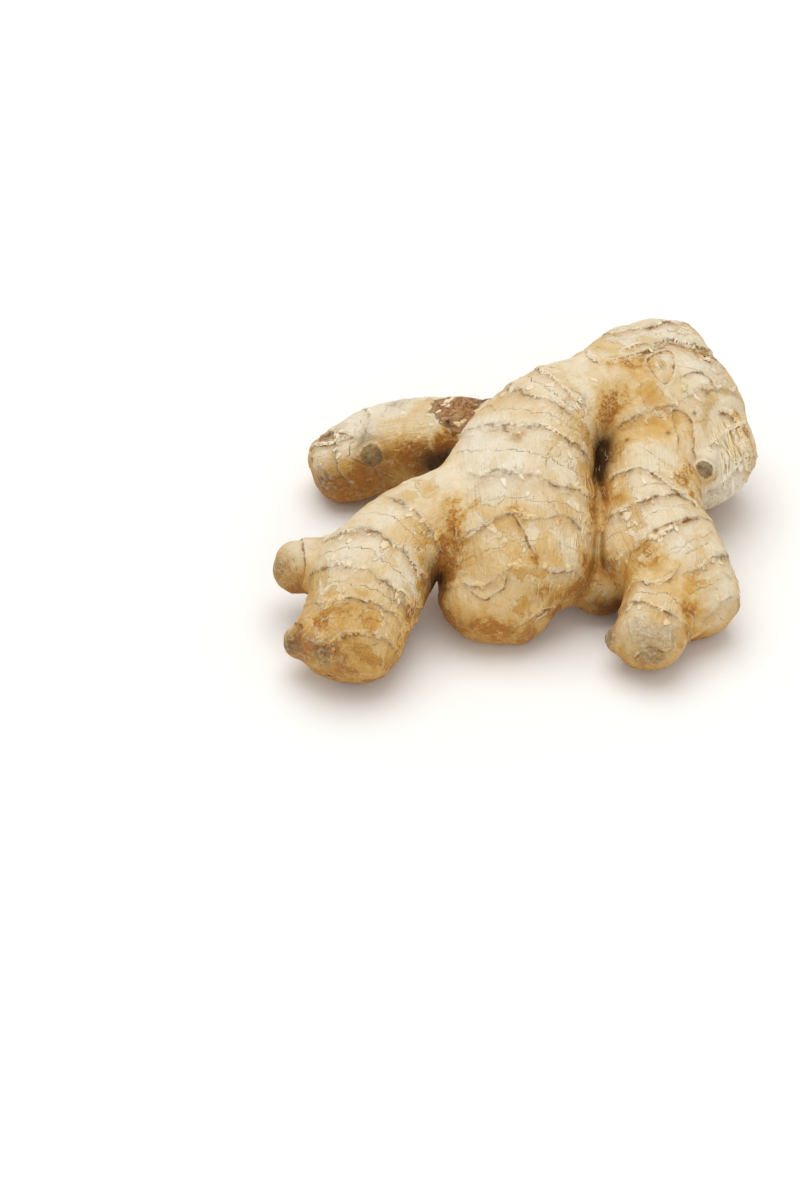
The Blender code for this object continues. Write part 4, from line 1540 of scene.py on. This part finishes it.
def build_strips(sheets, material):
    """Long thin strips of torn fibres."""
    dice = random.Random(SEED + 1)
    first, span, last = STRIP_WAVE
    for *centre, radius, count, length, heading in STRIP_SPOTS:
        for _ in range(count):
            place, normal = scattered(dice, sheets, centre, radius)
            width = dice.uniform(*STRIP_WIDTHS)
            lift = dice.uniform(0.0, STRIP_LIFT)
            steps = int(length * dice.uniform(*STRIP_LENGTHS) / STRIP_STEP)
            rows, normals = [[] for _ in STRIP_COLUMNS], []
            for step in range(steps + 1):
                share = step / max(steps, 1)
                taper = math.sin(math.pi * min(last, first + share * span)) ** STRIP_POWER
                way = unit(np.array(heading) - normal * (np.array(heading) @ normal))
                side = np.cross(normal, way) * width / 2 * taper
                rise = normal * (SHEET_GAP + lift * share**3)
                for row, across in zip(rows, STRIP_COLUMNS):
                    bulge = normal * (STRIP_BULGE * width * (1 - abs(across)))
                    row.append(place + side * across + rise + bulge)
                normals.append(normal)
                way = unit(way + jitter(dice, STRIP_DRIFT))
                place, normal = sheets.nearest(place + way * STRIP_STEP)
            if steps > STRIP_SHORTEST:
                sheets.add(rows, normals, STRIP_EDGES)
    return sheets.build("torn_fibres", material)


def build_hairs(sheets, material):
    """Curly root hairs in the crevices and at ragged edges."""
    dice = random.Random(SEED)
    curve = bpy.data.curves.new("root_hairs", "CURVE")
    curve.dimensions = "3D"
    curve.bevel_depth = HAIR_WIDTH / 2 * MM
    curve.bevel_resolution = 1
    for *centre, radius, count, length in HAIR_SPOTS:
        for _ in range(count):
            place, normal = scattered(dice, sheets, centre, radius)
            way = unit(normal + jitter(dice, HAIR_LEAN))
            step = length * dice.uniform(*HAIR_LENGTHS) / HAIR_POINTS
            points = [place - normal * HAIR_DEPTH]
            for _ in range(HAIR_POINTS - 1):
                way = unit(way + jitter(dice, HAIR_CURL))
                points.append(points[-1] + way * step)
                points[-1][2] = max(points[-1][2], HAIR_WIDTH)
            spline = curve.splines.new("POLY")
            spline.points.add(len(points) - 1)
            for index, (spot, point) in enumerate(zip(spline.points, points)):
                spot.co = (*(point * MM), 1.0)
                spot.radius = 1.0 - HAIR_TAPER * index / HAIR_POINTS
    return ridden(linked("root_hairs", curve, material))


def build_floor():
    """A plain pale floor."""
    recipe = Recipe("floor_white")
    recipe.finished(recipe.mix(recipe.noise("floor"), FLOOR_SHADE, FLOOR_WHITE), FLOOR_ROUGHNESS)
    signs = ((-1, -1), (1, -1), (1, 1), (-1, 1))
    outline = [(x * FLOOR_HALF, y * FLOOR_HALF, 0) for x, y in signs]
    mesh = bpy.data.meshes.new("floor")
    mesh.from_pydata(outline, [], [(0, 1, 2, 3)])
    linked("floor", mesh, recipe.material)


def build_light():
    """Soft daylight from all round, a broad lamp above and a weaker one in front."""
    world = bpy.data.worlds.new("studio")
    bpy.context.scene.world = world
    world.use_nodes = True
    sky = world.node_tree.nodes["Background"]
    sky.inputs["Color"].default_value = (*SKY, 1.0)
    sky.inputs["Strength"].default_value = SKY_STRENGTH
    for name, place, size, energy, colour in SOFTBOXES:
        lamp = bpy.data.lights.new(name, "AREA")
        lamp.shape = "DISK"
        lamp.size = size
        lamp.energy = energy
        lamp.color = colour
        made = linked(name, lamp)
        made.location = place
        made.rotation_euler = (-made.location).to_track_quat("-Z", "Y").to_euler()


def build_camera():
    """The camera, at the height and distance of the picture."""
    data = bpy.data.cameras.new("camera")
    data.lens = LENS
    data.sensor_width = SENSOR
    data.clip_start = NEAREST_SEEN
    made = linked("camera", data)
    made.location = (Vector(AIM) + Vector(BACK) * DISTANCE) * MM
    made.rotation_euler = (-Vector(BACK)).to_track_quat("-Z", "Y").to_euler()
    bpy.context.scene.camera = made


def corners(bounds):
    """A box's lowest and highest corners as plain lists of numbers."""
    return [list(corner) for corner in bounds]


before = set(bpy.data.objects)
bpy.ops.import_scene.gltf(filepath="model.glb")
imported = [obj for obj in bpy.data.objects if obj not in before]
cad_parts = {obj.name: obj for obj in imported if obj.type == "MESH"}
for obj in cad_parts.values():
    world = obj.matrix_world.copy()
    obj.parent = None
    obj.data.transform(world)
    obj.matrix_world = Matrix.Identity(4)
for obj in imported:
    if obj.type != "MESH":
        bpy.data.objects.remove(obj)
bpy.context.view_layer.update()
root_lobes = [Lobe(name, **shape) for name, shape in LOBES.items()]
root_skin = build_skin(root_lobes, skin_material())
sheath_paper = sheath_material()
build_frills(root_skin, Sheets(root_skin), sheath_paper)
build_flakes(root_skin, Sheets(root_skin), sheath_paper)
build_strips(Sheets(root_skin), sheath_paper)
build_hairs(Sheets(root_skin), hair_material())
build_floor()
build_light()
build_camera()
bpy.context.scene.view_settings.view_transform = "Standard"
